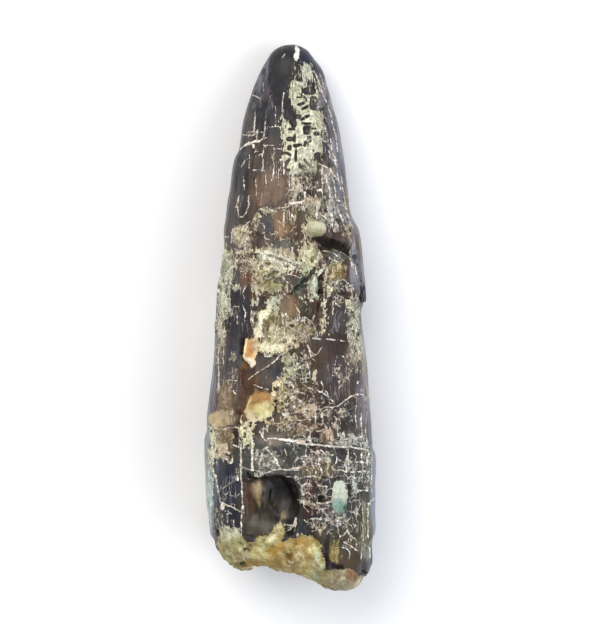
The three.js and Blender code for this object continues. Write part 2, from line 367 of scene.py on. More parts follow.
# %% Plates of crust, and the windows in them
# offset, station, half width, half length, turn in degrees
CRUST = [
    # the column below the tip
    (3.4, 103.8, 1.35, 1.9), (1.1, 99.2, 1.2, 3.1), (2.7, 97.4, 1.8, 2.2), (4.1, 98.6, 1.6, 3.6),
    (3.6, 93.6, 3, 2.8), (1.5, 91.2, 3, 2.8), (-0.9, 92.8, 0.75, 2.6), (4.9, 89.6, 1.65, 2.6),
    (2.2, 87.2, 2.5, 2.6), (-0.3, 88, 1.2, 1.5), (1.6, 84.9, 1.8, 1.4), (3.3, 84.4, 0.6, 1.2, -25),
    (0.6, 101.6, 0.7, 0.7), (1.9, 101.5, 0.7, 0.7), (2.9, 71.8, 0.45, 1.9), (-10, 70.8, 0.6, 0.7),
    (-10.8, 71.6, 0.7, 0.9), (-9.3, 69.9, 0.8, 0.7), (-8.3, 71.8, 0.45, 0.9, -20),
    (-9.2, 72.4, 0.8, 0.4, 20), (1.2, 81.6, 1, 1.7), (4.5, 78.2, 1.4, 0.8), (-4.6, 75.9, 0.7, 0.3),
    (-6.4, 74.6, 0.5, 1.6, -35),
    # the broad patch in the middle
    (-3.6, 66.7, 3.6, 0.9, -14), (-5.2, 67.6, 1.6, 0.7), (0.6, 65.9, 1.6, 0.5, -10), (-4.4, 64, 3.2, 2.3),
    (-1.2, 64.8, 2.4, 1.2), (-5.6, 61.8, 1.3, 2), (-3.5, 60.9, 2, 0.9), (3.6, 67.2, 1.5, 2.8, 8),
    (2.8, 64.2, 1, 0.9), (4.6, 61.8, 0.6, 1.2), (4.5, 60.2, 0.6, 0.7), (6, 63.8, 0.45, 0.8),
    (7.9, 60.3, 0.8, 0.9, -20), (3.8, 58.8, 0.9, 0.4), (7, 64.4, 0.35, 1.8), (7.1, 60.4, 0.3, 3),
    (-0.4, 67, 1.8, 0.45, -8), (8.6, 63.2, 0.6, 0.6), (9.6, 65, 0.8, 0.7), (11.9, 57.6, 0.7, 1.2),
    (6.8, 55, 0.35, 2), (-7.2, 58.3, 0.5, 0.6), (2.8, 52.4, 2.4, 1.4), (0.6, 53.6, 1, 0.8),
    (-6.9, 65, 0.7, 1.8), (-7.4, 62, 0.25, 1), (-8.6, 64.7, 0.22, 0.8),
    # the strip along the left side
    (-12.9, 67.3, 0.8, 1.1), (-12.8, 65.1, 0.7, 1.5), (-13.6, 61.8, 0.5, 1), (-11.8, 63.8, 0.42, 3.2, -26),
    (-13.3, 58.6, 1, 2), (-11.1, 60.8, 0.7, 0.5, 30), (-9, 67.9, 1.6, 0.4), (-13.2, 56.4, 0.8, 1.5),
    (-13.7, 53.2, 0.8, 2.2),
    # the yellow patch below the middle
    (-5, 54.8, 1, 1.9, -12), (-6, 52.3, 0.9, 1.5, -20), (-2.6, 51.4, 1.8, 1.6), (-1.2, 50.4, 2.4, 1.5),
    (-3, 58.2, 0.9, 1.4), (-3, 56, 0.9, 1), (-3.2, 53.4, 1, 1.2), (0.9, 51.4, 1.9, 1.2),
    (-4.2, 49.3, 2.2, 1.6), (-1.8, 48.9, 1.6, 1.1), (-4.8, 55.9, 1.3, 0.9, 30), (-0.2, 46.6, 1.3, 1.3),
    (-2.6, 41.6, 0.9, 0.6, 25), (-3.4, 38.8, 0.5, 1.6, -10),
    # the strip along the right side
    (12.9, 54, 0.55, 2.8, -6), (13.5, 49.4, 0.4, 2.6), (0.1, 44.2, 0.9, 1.2), (-0.9, 42.8, 0.8, 0.8),
    (-1.9, 39.2, 0.6, 1.6),
    # scraps near the root
    (-8.5, 32, 1.5, 2.5), (-6.6, 34.6, 2.6, 0.6), (-14.9, 29.6, 1, 3.2), (-13, 28.6, 0.8, 1.4),
    (10.1, 30.8, 0.5, 1), (8.2, 31.4, 0.4, 1.3, 20), (7, 31.9, 0.3, 0.9, 30), (4.4, 33.2, 0.9, 0.45),
    (2.2, 32.3, 0.8, 0.45), (8.8, 33.4, 0.8, 0.45), (-1.4, 33, 0.8, 0.5), (0.2, 34.6, 0.7, 0.4),
    (12.1, 30.7, 1, 0.7), (14.8, 29.5, 0.7, 0.7), (12.8, 21.2, 0.35, 1.5, -18), (3.4, 17.9, 1.2, 0.5, -10),
    (-6.1, 23.5, 0.65, 0.3), (1.5, 23, 0.5, 0.4), (2.4, 21, 0.3, 0.65),
]
WINDOWS = [
    (4.2, 101.4, 0.7, 0.45), (3.9, 100.2, 1.1, 0.75), (4.7, 97.7, 0.7, 1.3), (1.8, 98.9, 0.35, 0.13),
    (3.1, 98.6, 0.13, 0.5, 29), (2.2, 97.6, 0.6, 0.26, 15), (3, 96.8, 0.6, 0.2, 35),
    (-0.5, 97.2, 0.75, 1.5, 10), (0, 95.3, 1.2, 0.8), (0.6, 94, 0.55, 1.1, 10), (1.6, 95, 0.5, 0.4),
    (3, 94.8, 0.85, 0.2, 29), (3.2, 93.6, 0.75, 0.17), (3.4, 92.3, 0.75, 0.85), (5.2, 91.6, 0.5, 0.3),
    (4.7, 92.6, 0.4, 0.16), (-0.1, 92.5, 0.22, 0.25), (0.7, 92.5, 0.3, 0.26), (0, 90.5, 0.5, 0.42),
    (1, 90.7, 0.17, 0.6), (3.8, 90.4, 0.28, 0.6), (3, 89.4, 0.25, 0.45, -20), (1.5, 89.2, 0.7, 0.28),
    (-0.1, 88.7, 0.35, 0.45), (-0.4, 87.5, 0.6, 0.2, -25), (1.2, 87.2, 0.2, 1), (5.4, 86.7, 0.7, 1),
    (-0.5, 86.2, 0.3, 0.22), (3.2, 85.8, 0.22, 0.6, 30), (1.9, 85.2, 0.12, 0.4), (3, 84.1, 0.35, 1.1, 35),
    (4.4, 83.6, 0.7, 1.2), (1.8, 83.1, 0.35, 0.5), (1.2, 81.7, 0.2, 0.4), (3.9, 79.3, 0.4, 0.4),
    (-4.2, 62.9, 1, 0.5, 20), (-1.9, 62.2, 1.2, 0.55), (-6.4, 67.4, 0.4, 0.2), (-4.2, 65.6, 0.35, 0.2),
    (-2.9, 63.9, 0.5, 0.2), (-5, 53, 0.3, 1.3), (-1, 50.2, 0.35, 0.35), (2.2, 52.4, 0.3, 0.4),
    (3.6, 53.2, 0.25, 0.5), (0.4, 53.2, 0.4, 0.2), (4.8, 52, 0.3, 0.3), (1.2, 51.2, 0.3, 0.2),
    (2.8, 51.4, 0.4, 0.2), (-5.6, 64.8, 0.3, 0.4), (-3.6, 64.4, 0.3, 0.25), (-0.8, 65, 0.35, 0.2),
    (3.6, 69, 0.2, 0.5), (4.4, 66.4, 0.25, 0.5), (0.9, 50.3, 0.35, 0.22), (-8.9, 31.5, 0.2, 0.4),
    (-8.9, 32.9, 0.28, 0.18), (-7.9, 33.4, 0.18, 0.18),
]

# smooth stone: two pebbles, the lifted flake, the chip at the tip and dentine that shows where the enamel
# has flaked off
SMOOTH = [
    (5.2, 72.6, 1.95, 1.75), (9.8, 19.3, 1.5, 3.4), (-8.3, 48.6, 1, 2.4, -4), (-7.3, 47.7, 0.9, 2.5, -12),
    (-7, 49.8, 0.75, 1.2), (-7.4, 46, 0.7, 0.7), (-6, 38.4, 2.3, 1.8, 8), (-7.6, 37, 1.2, 2.4, -20),
    (-5.8, 36.5, 2.4, 1.6),
    (1.35, 107.9, 0.45, 1.5), (-4.2, 57.4, 0.42, 1.1, -8), (-5.3, 55.7, 0.5, 0.9, -40),
    (-5.9, 53.9, 0.48, 1.6, -6), (-6.5, 51.9, 0.45, 1.3, -24), (12.8, 21.6, 0.35, 1.5, 8),
    (-13.9, 34.6, 2.2, 1.7), (4.9, 43.3, 0.4, 1.5, -8), (4.6, 37.1, 0.6, 0.4),
]
WIDER_WINDOWS = 0.08  # mm
smooth_field = ovals(SMOOTH, power=2.4)
window_field = ovals(WINDOWS, power=4, x=stroke_x, s=stroke_s) + WIDER_WINDOWS
crust_field = ovals(CRUST, power=2.6)
keep("crust", crust_field)
keep("window", window_field)
keep("smooth", smooth_field)
print("share of the surface under crust:", round(float((crust_field > 0).mean()), 3))

# %% [markdown]
# ## Cracks full of calcite, and open cracks
#
# As the ground pressed on it, the tooth cracked, and water filled the cracks with white calcite. The largest
# ones are drawn here as strokes. The longest is where the tooth broke across and was mended. Open cracks,
# gaps under flakes and gouges are drawn in the same way, and get painted shade: a near-black colour.

# %% Pale strokes, and dark strokes that carry painted shade
# half width, then (offset, station) corners
CALCITE = [
    # near the tip
    (0.05, (0.9, 106), (1, 104.6)), (0.04, (1.2, 103.6), (1.2, 102.6)),
    (0.11, (-1.1, 107.7), (-1.5, 107.2)), (0.08, (5.2, 103.6), (5.7, 101.8), (6, 100.4)),
    (0.07, (5.8, 104), (6.5, 102.4), (6.9, 100.6)), (0.08, (7.6, 97.6), (8.2, 95), (8.7, 92.4)),
    (0.1, (8.9, 92.6), (9.3, 90), (9.4, 88)), (0.08, (7.4, 92.4), (7.5, 89.4)),
    (0.1, (8.1, 90.6), (8.3, 88.4)), (0.14, (8.6, 87.6), (9.2, 86.2)), (0.1, (7.7, 88.2), (8.2, 86.6)),
    (0.11, (-1.2, 100), (-1.5, 98), (-1.6, 96), (-1.2, 94.5)),
    (0.1, (-7.5, 99.5), (-6.8, 99.3), (-6, 98.7)),
    (0.15, (4.8, 104.4), (5.8, 102.3), (6.3, 100.4), (7.2, 98.2)), (0.1, (6.4, 96), (6.6, 92), (6.4, 88)),
    (0.06, (-7, 95), (-7.1, 91.4)), (0.05, (-2.9, 97), (-2.8, 93.6)), (0.05, (-5.3, 102), (-5.3, 100.4)),
    (0.06, (-8.6, 91.9), (-7, 92), (-5.6, 91.9)), (0.08, (5.2, 96.8), (6.4, 97.3)),
    (0.09, (6.4, 94.4), (7, 93.2), (7.4, 91)), (0.09, (6.2, 90.6), (7.2, 90), (8, 89)),
    (0.1, (5.6, 85.6), (7.6, 84.8), (8.6, 83.6)),
    # the ledge on the upper left
    (0.08, (-8, 87.4), (-8.1, 84.7)), (0.08, (-5.3, 88.7), (-5.4, 86)), (0.09, (-3.2, 88.7), (-3.3, 82.7)),
    (0.08, (-7.4, 84.2), (-6.2, 84.4), (-5, 84.2)), (0.07, (-2.2, 86.4), (-2.3, 81)),
    (0.08, (-9.2, 83), (-9.1, 80.4)), (0.07, (-4.8, 83.6), (-4.8, 80.4)), (0.07, (-6.8, 82.6), (-6.7, 79)),
    (0.13, (-10, 88.5), (-9.2, 89.2), (-6.4, 90), (-5.4, 90.6), (-4.6, 90.8)),
    (0.24, (-9, 89.4), (-8.2, 89.8), (-7, 90), (-6.2, 90.1)),
    (0.1, (-9.8, 91.6), (-8, 91.2), (-7.3, 91.4), (-7.2, 92.6), (-7, 94.5), (-6.9, 96)),
    (0.12, (-5.4, 90.6), (-5, 92), (-5, 93), (-4.8, 94.4)), (0.1, (-6.5, 92.4), (-6.7, 90.5)),
    (0.12, (-6.3, 87.3), (-5.5, 87.5), (-5.3, 86.5), (-5.5, 84)), (0.21, (-7.3, 89.2), (-7.2, 88.9)),
    (0.1, (-3.7, 87.5), (-3.2, 85), (-3.5, 83), (-3.8, 82)), (0.15, (-5.2, 89.4), (-5, 89.1)),
    (0.08, (-4.6, 89.3), (-3.2, 89.3)), (0.08, (-2.8, 88.6), (-1.6, 88.4)),
    (0.08, (-4.2, 93), (-2.2, 93.1)), (0.1, (-9.7, 85), (-8.9, 86.4)), (0.17, (-1.3, 86.4), (-1.2, 83.4)),
    (0.21, (-1.8, 86.4), (-0.6, 86.5)),
    # between the column of crust and the pebble
    (0.12, (-0.1, 83.8), (-0.1, 80.6)), (0.12, (0.5, 83.5), (0.4, 80.8)), (0.17, (-0.2, 80.3), (2.2, 80.1)),
    (0.17, (2.9, 79.9), (3, 78.3)), (0.12, (3.9, 79.2), (4.1, 78.5)), (0.24, (5.5, 80.3), (6.2, 80.3)),
    (0.2, (-0.1, 77.6), (0.9, 77.7), (2, 77.9), (3, 78.2)), (0.17, (5.3, 77.6), (5.4, 74.4)),
    (0.12, (-2.6, 76.7), (-0.9, 76.8), (-0.2, 77)), (0.1, (-0.9, 76.8), (-0.9, 77.5)),
    (0.13, (-10, 79.2), (-10.5, 77.6), (-10.4, 76), (-10.2, 74.9), (-9.5, 74.9), (-8.7, 75.7), (-8.3, 76.9),
        (-8.2, 79)),
    (0.1, (-10.9, 76.9), (-10.4, 77)), (0.1, (-6.3, 76.4), (-4.7, 76.9), (-4.2, 76.5), (-3.2, 76)),
    (0.11, (0.4, 76), (0.8, 74.6)), (0.11, (1.2, 75.6), (1.2, 74.2)),
    (0.17, (2.7, 73.7), (2.8, 71.6), (3, 70.3)), (0.1, (-12.9, 71), (-12.4, 71)),
    (0.12, (9, 79.2), (9.4, 78.3), (10, 78.1), (10.6, 77.5), (11.2, 76.4)),
    (0.12, (7.2, 77.8), (7.6, 76.3), (8.4, 75.3), (8.7, 74)),
    (0.09, (6.3, 85), (7.4, 82.4), (7.9, 80), (8.2, 78)), (0.09, (6, 84.5), (6.4, 82), (6.5, 79)),
    (0.09, (7.6, 84.5), (8.8, 82), (9.1, 79.5)), (0.17, (7.9, 87), (8.8, 86.2), (9.3, 85)),
    (0.12, (6.2, 84), (6.6, 81)), (0.12, (7, 83), (8, 80), (8.6, 78)), (0.12, (8, 84.6), (9.4, 82.4)),
    (0.13, (9.2, 73.9), (9.6, 73.2), (9.6, 72.4), (9.2, 71.9), (8.9, 72.6), (8.9, 73.4), (9.2, 73.9)),
    (0.14, (7.6, 76.4), (8.2, 74.4), (8.8, 72.2)), (0.12, (9.8, 75.6), (10.6, 73.6), (11.6, 71.4)),
    (0.12, (6.4, 75.2), (7.4, 74.6), (8.2, 73.4)), (0.1, (11, 76.6), (11.8, 74.4), (12.6, 72.4)),
    (0.1, (10.2, 83), (10.8, 79), (11.4, 76.4)), (0.08, (9.4, 84), (10, 80.4)),
    (0.08, (11.6, 79.6), (12.2, 75.6)), (0.16, (-1.2, 75.8), (-1.2, 73.2)), (0.1, (-5.2, 73.2), (-4.9, 72)),
    # round the middle
    (0.14, (-10.3, 66.4), (-11.2, 64.6), (-12, 63), (-12.8, 61.4), (-13.2, 60.4)),
    (0.1, (-10.8, 66.9), (-11.6, 65.3), (-12.3, 63.9)), (0.12, (-11.8, 61.7), (-11, 61), (-10.4, 60.4)),
    (0.14, (-11.4, 72.1), (-10, 72.6), (-8.8, 73.3), (-8, 74.1)), (0.12, (-11.6, 69.8), (-11.4, 71.8)),
    (0.12, (-10.6, 67.8), (-9, 68.1), (-7.6, 67.7)), (0.12, (-8.8, 66.5), (-8.6, 64.8), (-8.8, 63)),
    (0.14, (-7.7, 66.6), (-7.6, 64.8), (-7.2, 63.7)), (0.14, (-7.5, 62.6), (-7.1, 61.2)),
    (0.1, (-14.6, 62.6), (-14.6, 60.8)), (0.19, (-4.6, 67.9), (-2.6, 67.2), (-0.2, 66.3), (1.6, 65.6)),
    (0.1, (-3.6, 69.6), (-3.7, 68.2)), (0.12, (-2.8, 69.2), (-2.8, 68)), (0.14, (-1, 69), (-1, 67.4)),
    (0.16, (0.4, 68.8), (0.4, 67)), (0.1, (-5.1, 71.8), (-4.9, 70.6), (-4.2, 70.4)),
    (0.12, (-0.2, 76), (0, 74.4)), (0.1, (9.2, 61.8), (8.8, 60.6), (9.5, 59.4)),
    (0.12, (9.4, 62.2), (10.5, 62.5), (11.7, 61.7)), (0.12, (12, 61.2), (12.3, 60)),
    (0.12, (8.4, 58), (8.6, 56.4)), (0.16, (9.9, 58.2), (9.4, 57.5), (9.9, 57.1)),
    (0.09, (8.2, 66), (8.4, 63.6)), (0.09, (9.2, 66), (9.3, 64)),
    (0.1, (-11, 68.6), (-10, 67.4), (-9.2, 66.2)), (0.1, (13, 65.6), (13.3, 62.8)),
    (0.09, (12.2, 66.4), (12.5, 63.4)), (0.1, (-0.6, 63.6), (1.2, 63.2), (2.2, 62.7)),
    (0.1, (-1.4, 62.8), (-0.2, 61.6)), (0.1, (5, 69.6), (5.9, 68), (5.4, 66)),
    (0.16, (-12.1, 60), (-12, 58), (-12.1, 56)), (0.1, (-14.1, 63), (-14.2, 61)),
    (0.1, (-7.6, 62.4), (-7.5, 60)), (0.09, (-6.9, 62), (-6.8, 59.6)),
    (0.09, (6.8, 68.4), (8.8, 67.6), (10.6, 66.2)), (0.09, (7.6, 66.8), (9.6, 66)),
    (0.1, (9, 68.6), (11.6, 67.2), (12.6, 65.4)), (0.1, (12.4, 59.6), (12.2, 56.6)),
    (0.12, (1, 54.8), (1.6, 53.4), (1.4, 52.2)), (0.12, (2.6, 55), (3, 53.4), (3.8, 52.6)),
    (0.12, (4.4, 54.6), (4.9, 53), (5.4, 51.6)), (0.1, (0.2, 52.8), (1.8, 52.2), (3.2, 51)),
    (0.1, (-1.6, 55.8), (-1.4, 53.6)), (0.12, (2.4, 54.2), (3, 55), (3.8, 54.2), (4.6, 54.4), (4.9, 55.3)),
    (0.1, (-2, 60.6), (-1, 59.4), (0, 58.6)), (0.12, (1.9, 56), (1.9, 54.7), (1.2, 53.8)),
    (0.1, (1, 57.5), (1.7, 56.3)), (0.14, (-0.8, 55.7), (-0.8, 53.2)), (0.1, (-0.3, 55.2), (-0.4, 53)),
    (0.14, (5.8, 53.6), (6.6, 53.2), (7.2, 53.8)), (0.16, (-7.6, 56.2), (-7.8, 54)),
    (0.14, (-6.4, 60), (-6.3, 58.2)), (0.15, (-1.4, 52.4), (-0.6, 51.6), (-0.9, 50.6)),
    (0.14, (0.8, 52.9), (0.6, 51.4), (1.4, 50.6)), (0.11, (-10.7, 55.2), (-10.6, 53.7)),
    (0.13, (-6.9, 56), (-7.4, 54.2)), (0.17, (-6.6, 59.5), (-6.5, 58.7)),
    (0.12, (-5, 60.2), (-4.2, 60), (-3.4, 59.4)), (0.1, (6.9, 64), (6.8, 60), (6.7, 56), (6.9, 53.6)),
    (0.1, (8.3, 57.2), (8.6, 55.4)), (0.12, (8.8, 58.3), (9.3, 57.4), (9.9, 57.8), (10, 58.4)),
    (0.1, (11.3, 61.3), (11.7, 60.2)), (0.12, (12.5, 61.5), (12.7, 60.5)), (0.15, (7.4, 50.6), (9.3, 50.6)),
    (0.13, (10.2, 50.4), (11, 50.3)), (0.13, (4.4, 50.8), (6, 50.6)),
    (0.12, (-14.2, 49.6), (-14.3, 46), (-14.1, 43.5)), (0.1, (-13.2, 48.6), (-13.3, 45)),
    (0.1, (-14.9, 48.8), (-13.9, 49.2), (-12.8, 49.4)),
    # below the middle
    (0.11, (-8.4, 42.6), (-7.2, 43.4)), (0.12, (-6.8, 43.6), (-6, 44.2), (-4.2, 45.4)),
    (0.14, (-4, 45.5), (-2.6, 46.6), (-2, 47.4)), (0.12, (-2, 47.4), (-1, 47.9), (0, 48.8)),
    (0.14, (-6, 48.2), (-4.6, 47.4), (-3.2, 47.7), (-2.2, 47.5)),
    (0.11, (-7.1, 41.5), (-6.2, 41.1), (-5.5, 40.9)), (0.12, (-4.8, 40.8), (-4.2, 40.5)),
    (0.1, (-9.6, 57.6), (-9, 56), (-9.2, 54.2)), (0.1, (-8.8, 61.4), (-9.4, 59.8), (-9.2, 58.6)),
    (0.09, (-13.2, 42.4), (-10.8, 42.4)),
    (0.12, (3.1, 50), (4, 48.4), (4.8, 47.5), (5.6, 47.8), (6.3, 49.2)),
    (0.12, (3.9, 48.2), (4.2, 47), (5, 46.3)), (0.1, (1.1, 48), (1.5, 46.8), (1.4, 45.4), (1.2, 44.4)),
    (0.1, (2.2, 46.4), (3, 46.2), (3.7, 45.4), (3.9, 43)), (0.1, (6.2, 42.3), (6.6, 41.4), (6.4, 40.2)),
    (0.1, (4.6, 39.7), (5, 38.6), (4.8, 37.5)), (0.2, (-1.4, 35.8), (-0.6, 35.4), (0.4, 34.9)),
    (0.13, (-0.4, 35.9), (-1, 35)), (0.11, (2.8, 35.9), (3.6, 35.4), (4.1, 34.6)),
    (0.13, (2.2, 32.9), (3.4, 32.6), (4.2, 32.3)), (0.11, (6.2, 35.6), (6.4, 34.2), (7.2, 33.4), (7.6, 32)),
    (0.12, (4.4, 33), (5.4, 32.3), (6.4, 32.5)), (0.1, (-4.5, 34.2), (-4.4, 32.2)),
    (0.16, (-5.9, 32.2), (-5.6, 31.4)), (0.14, (-5.2, 47.9), (-4.9, 47.2), (-3.6, 47.2)),
    (0.1, (-2.6, 43.2), (-1.6, 42.4), (0.2, 42)), (0.1, (0.6, 41.4), (1.6, 40.2), (3, 39.8)),
    (0.1, (2.6, 41.6), (3.8, 40.8), (5, 40.9)), (0.1, (0.4, 38.6), (1.4, 38.9), (2.4, 38.2)),
    (0.08, (10.4, 47.3), (11, 46.6)), (0.06, (11.1, 46.3), (11.8, 45.4)),
    (0.03, (8.6, 43.4), (9, 45.4), (9.4, 47.4)), (0.03, (8.8, 43.4), (10, 44.2), (10.6, 42.4)),
    (0.16, (-14.2, 43.4), (-14.2, 40)), (0.12, (-11.2, 40.4), (-10.9, 39.8)),
    (0.12, (13.6, 42.2), (13.6, 41.8)),
    (0.13, (6.1, 36.7), (7.3, 37.3), (8.6, 37.1), (9.7, 37.4), (10.5, 38.1), (11.5, 38.6), (12.4, 39.3),
        (13.4, 39.5)),
    (0.09, (13, 39.9), (14.4, 39.6), (15.2, 39)), (0.1, (6.4, 36.7), (7.4, 36.4), (8.4, 36.8)),
    (0.1, (4.2, 40), (4.9, 40.8), (5.7, 40.2), (6.4, 40), (7.2, 39.5), (8, 38.9), (8.8, 38.2)),
    (0.08, (6.9, 40.8), (7.6, 40), (7.9, 39)), (0.07, (13.3, 38.8), (13.1, 36), (13.2, 33)),
    (0.12, (8.8, 35.3), (9.4, 35), (9.4, 33), (9.6, 31.4)), (0.12, (-1, 33.6), (0.6, 33), (2, 33.4)),
    (0.12, (0.6, 37.4), (1.8, 36.6), (3.4, 36.8), (4.6, 36.2)), (0.12, (1, 35.4), (1.8, 34.4), (3.2, 34.8)),
    (0.12, (4.9, 36.8), (5.2, 35.2), (5, 33.6)), (0.11, (2, 31.8), (3, 31.2), (3.6, 30.4)),
    (0.11, (-0.6, 32.4), (-0.2, 31.4)), (0.12, (5.6, 27.6), (6.4, 26.6), (7.6, 26.4)),
    (0.11, (4.4, 25.8), (5.2, 24.6), (5, 23.6)), (0.11, (6, 25.6), (6.3, 24.4), (6, 23.2)),
    (0.12, (7.6, 25.8), (7.3, 24.6), (7.8, 23.4)), (0.11, (8.4, 25.2), (8.9, 24.2)),
    (0.1, (3.2, 24.8), (4, 24.2), (4.4, 23.2)), (0.11, (2.6, 26.4), (3.4, 25.2)),
    (0.12, (6.2, 28.6), (7, 27.8), (8.4, 27.6)), (0.11, (3.6, 27.4), (4.4, 26.4), (4.2, 25.4)),
    (0.11, (8.8, 28.4), (9.4, 27.2), (9, 26)), (0.1, (12.6, 28.2), (13.2, 27.2), (12.8, 26.4)),
    (0.12, (9.8, 26.6), (11, 26.2)), (0.11, (1.2, 28.6), (1.6, 27.2), (0.8, 26.2)),
    (0.1, (-1, 28.8), (-0.6, 27.4), (-1.2, 26.2)), (0.13, (6.3, 36), (6.6, 34), (7.4, 32.2), (8.2, 30.4)),
    (0.13, (4, 33.4), (4, 31.6), (4.2, 30.2)), (0.12, (-6, 32.2), (-5.4, 31), (-3.8, 30)),
    (0.15, (-1, 35.9), (0.3, 35)),
    # the mended break
    (0.12, (-4.4, 31), (-2.2, 30.9)), (0.24, (-2.2, 30.9), (-1, 30.6), (0, 30.6), (1.6, 30.5), (2.8, 30.4)),
    (0.18, (1.6, 29.9), (4, 29.8), (8, 29.4), (12, 29.2), (15.4, 28.5)),
    (0.1, (9, 30.6), (11, 30.2), (13.4, 30.3), (14.6, 29.6)),
    (0.12, (10.2, 31.8), (10, 30.6), (11.4, 30.9)), (0.12, (12.4, 31.8), (13, 30.9), (14.4, 31.2)),
    (0.12, (-16.4, 33.2), (-15, 32.8), (-13, 32.8), (-11.2, 33.1), (-9.8, 32.9)),
    # round the chipped pit
    (0.12, (-14.8, 27.8), (-13.8, 27.2), (-12.6, 26.8), (-12, 26), (-11.3, 26.2), (-11.4, 27.4)),
    (0.13, (-9.5, 25.3), (-8.4, 24.9), (-6.4, 24.5), (-5.4, 24), (-4.2, 24.3), (-3, 24.8), (-0.5, 24.7),
        (2.4, 25)),
    (0.17, (-4.8, 29), (-4, 28.3), (-3.2, 27.5), (-2.6, 26.5), (-2.1, 25.2)),
    (0.17, (-3.5, 26.5), (-3.2, 26.2)), (0.12, (-5.2, 28.8), (-5.7, 27.2), (-6.1, 25.6)),
    (0.14, (-5.1, 28.9), (-4.4, 29.2)),
    (0.13, (-16.3, 28.8), (-16, 26.4), (-15.4, 24.4), (-14.7, 23.2), (-14.1, 19.6), (-13.8, 18.3),
        (-12, 17.5), (-10, 16.5)),
    (0.45, (-13.2, 17.7), (-13.4, 17.1)), (0.24, (-15.1, 23.7), (-14.7, 23.3)),
    (0.11, (-10.9, 24.2), (-10.6, 24.4)), (0.18, (-11.3, 29.6), (-10.6, 29.4)),
    (0.12, (11.5, 28.4), (11.6, 24.5)), (0.12, (15.8, 28.3), (15.4, 25.2)), (0.1, (10.9, 24.3), (15, 24.3)),
    (0.11, (13.1, 19.3), (13.1, 20.3), (14, 20.6), (15.3, 20.4)),
    (0.1, (15.6, 17.6), (16, 18.3), (16.8, 18.7)),
    (0.12, (-1.2, 13.9), (0.4, 13.8), (1, 14.4), (1.1, 15.4)), (0.3, (0.6, 13.8), (1.05, 15)),
    (0.1, (1.2, 14.2), (0.8, 12.8)), (0.08, (0.3, 13.6), (-1.4, 12.2)), (0.1, (1.5, 12.4), (1.4, 11.3)),
    (0.09, (2.9, 14.8), (3.5, 14.2)), (0.1, (2.2, 12.1), (3.2, 11.6)),
    (0.09, (2.3, 21.6), (2.1, 20.9), (2.4, 20.3), (2.7, 20.9), (2.6, 21.6), (2.3, 21.8)),
    (0.1, (2.2, 18.5), (3.4, 18), (5.2, 17.6)), (0.13, (2.5, 18.2), (3.4, 17.9)),
    (0.09, (5.2, 18.2), (6.9, 18), (8.2, 18.6)), (0.1, (5, 22.6), (5.6, 21.6), (7.4, 21.4)),
    (0.13, (-1.2, 23.1), (0.2, 23.3)), (0.12, (0.9, 23.1), (2.4, 23.2)),
    (0.1, (2.6, 23.3), (4.8, 23.5), (6, 23)), (0.1, (8.2, 25.4), (9.2, 24.6), (10.6, 24.6)),
    (0.1, (11.2, 24.2), (11.2, 27.6)), (0.1, (5.6, 28.6), (5.7, 25.8), (6.4, 24.4)),
    (0.16, (1.7, 22.3), (2.3, 21.6), (2.2, 20.4), (2.7, 19.7)), (0.13, (2.2, 21.4), (3, 21.9)),
    (0.15, (2.2, 18.7), (3.2, 18.1), (4.8, 17.8)), (0.12, (0.4, 25.1), (3.2, 25.4)),
    (0.1, (3.2, 29.4), (3, 26.2)), (0.2, (-6.6, 23.6), (-5.8, 23.3)), (0.1, (14.2, 28), (14.4, 22)),
    (0.1, (15.2, 27.6), (15.6, 22.4)), (0.09, (12.2, 26.2), (15.8, 26)), (0.09, (12.4, 22.6), (16, 22.2)),
    (0.12, (16.2, 27.8), (16.3, 20)), (0.12, (15, 33), (15.4, 30)), (0.1, (14.2, 36), (14.4, 31)),
    (0.1, (15.4, 18), (15.5, 11)), (0.08, (14.4, 17.6), (14.6, 10.4)),
    (0.12, (-15.6, 27.6), (-15.2, 24), (-15.4, 19)),
    (0.11, (11.4, 22.9), (12.6, 23.6), (13.2, 22.2), (13.4, 20.2), (13, 19.4)),
    (0.1, (13.2, 20.2), (14.6, 20.6)), (0.22, (-7.5, 31), (-7.45, 24.8)),
    (0.17, (-9.7, 29.6), (-9.8, 26), (-9.6, 22)),
    (0.14, (-9.6, 21.6), (-9.4, 18), (-9.7, 14), (-9.5, 10.6)), (0.12, (-9.2, 17.6), (-9.1, 16.2)),
    (0.12, (-10.6, 25), (-10.4, 22.6)), (0.1, (-12.4, 16.2), (-12.3, 14.2)),
    (0.12, (-11.2, 14.8), (-11.1, 13.6)), (0.1, (-7, 24.6), (-6, 24.3)),
    (0.11, (-14.4, 28), (-13.6, 27.4), (-12.8, 27.2), (-12.2, 26.4), (-11.6, 26.2)),
    # near the broken end
    (0.1, (4, 14.9), (5, 15.2), (6.4, 14.8)), (0.11, (7.6, 14.1), (8.6, 14.6), (10, 14.5)),
    (0.11, (9.3, 14), (9.6, 12.2), (10, 11.3), (10.8, 11.8), (11.4, 12.6), (12, 11.6), (12.2, 10.4)),
    (0.1, (12, 11.6), (13.1, 10.9), (13.2, 9.2)), (0.15, (10.8, 10.3), (12, 9.6), (13.3, 8.5)),
    (0.1, (10.4, 9.2), (11.3, 9), (11.9, 8.2), (11.8, 7)),
    (0.12, (-12.9, 13.1), (-11.4, 12.8), (-10.2, 12.9)),
    (0.12, (14.1, 6.8), (14.2, 9), (14.9, 9.6), (15.7, 9.2), (16, 7)),
]
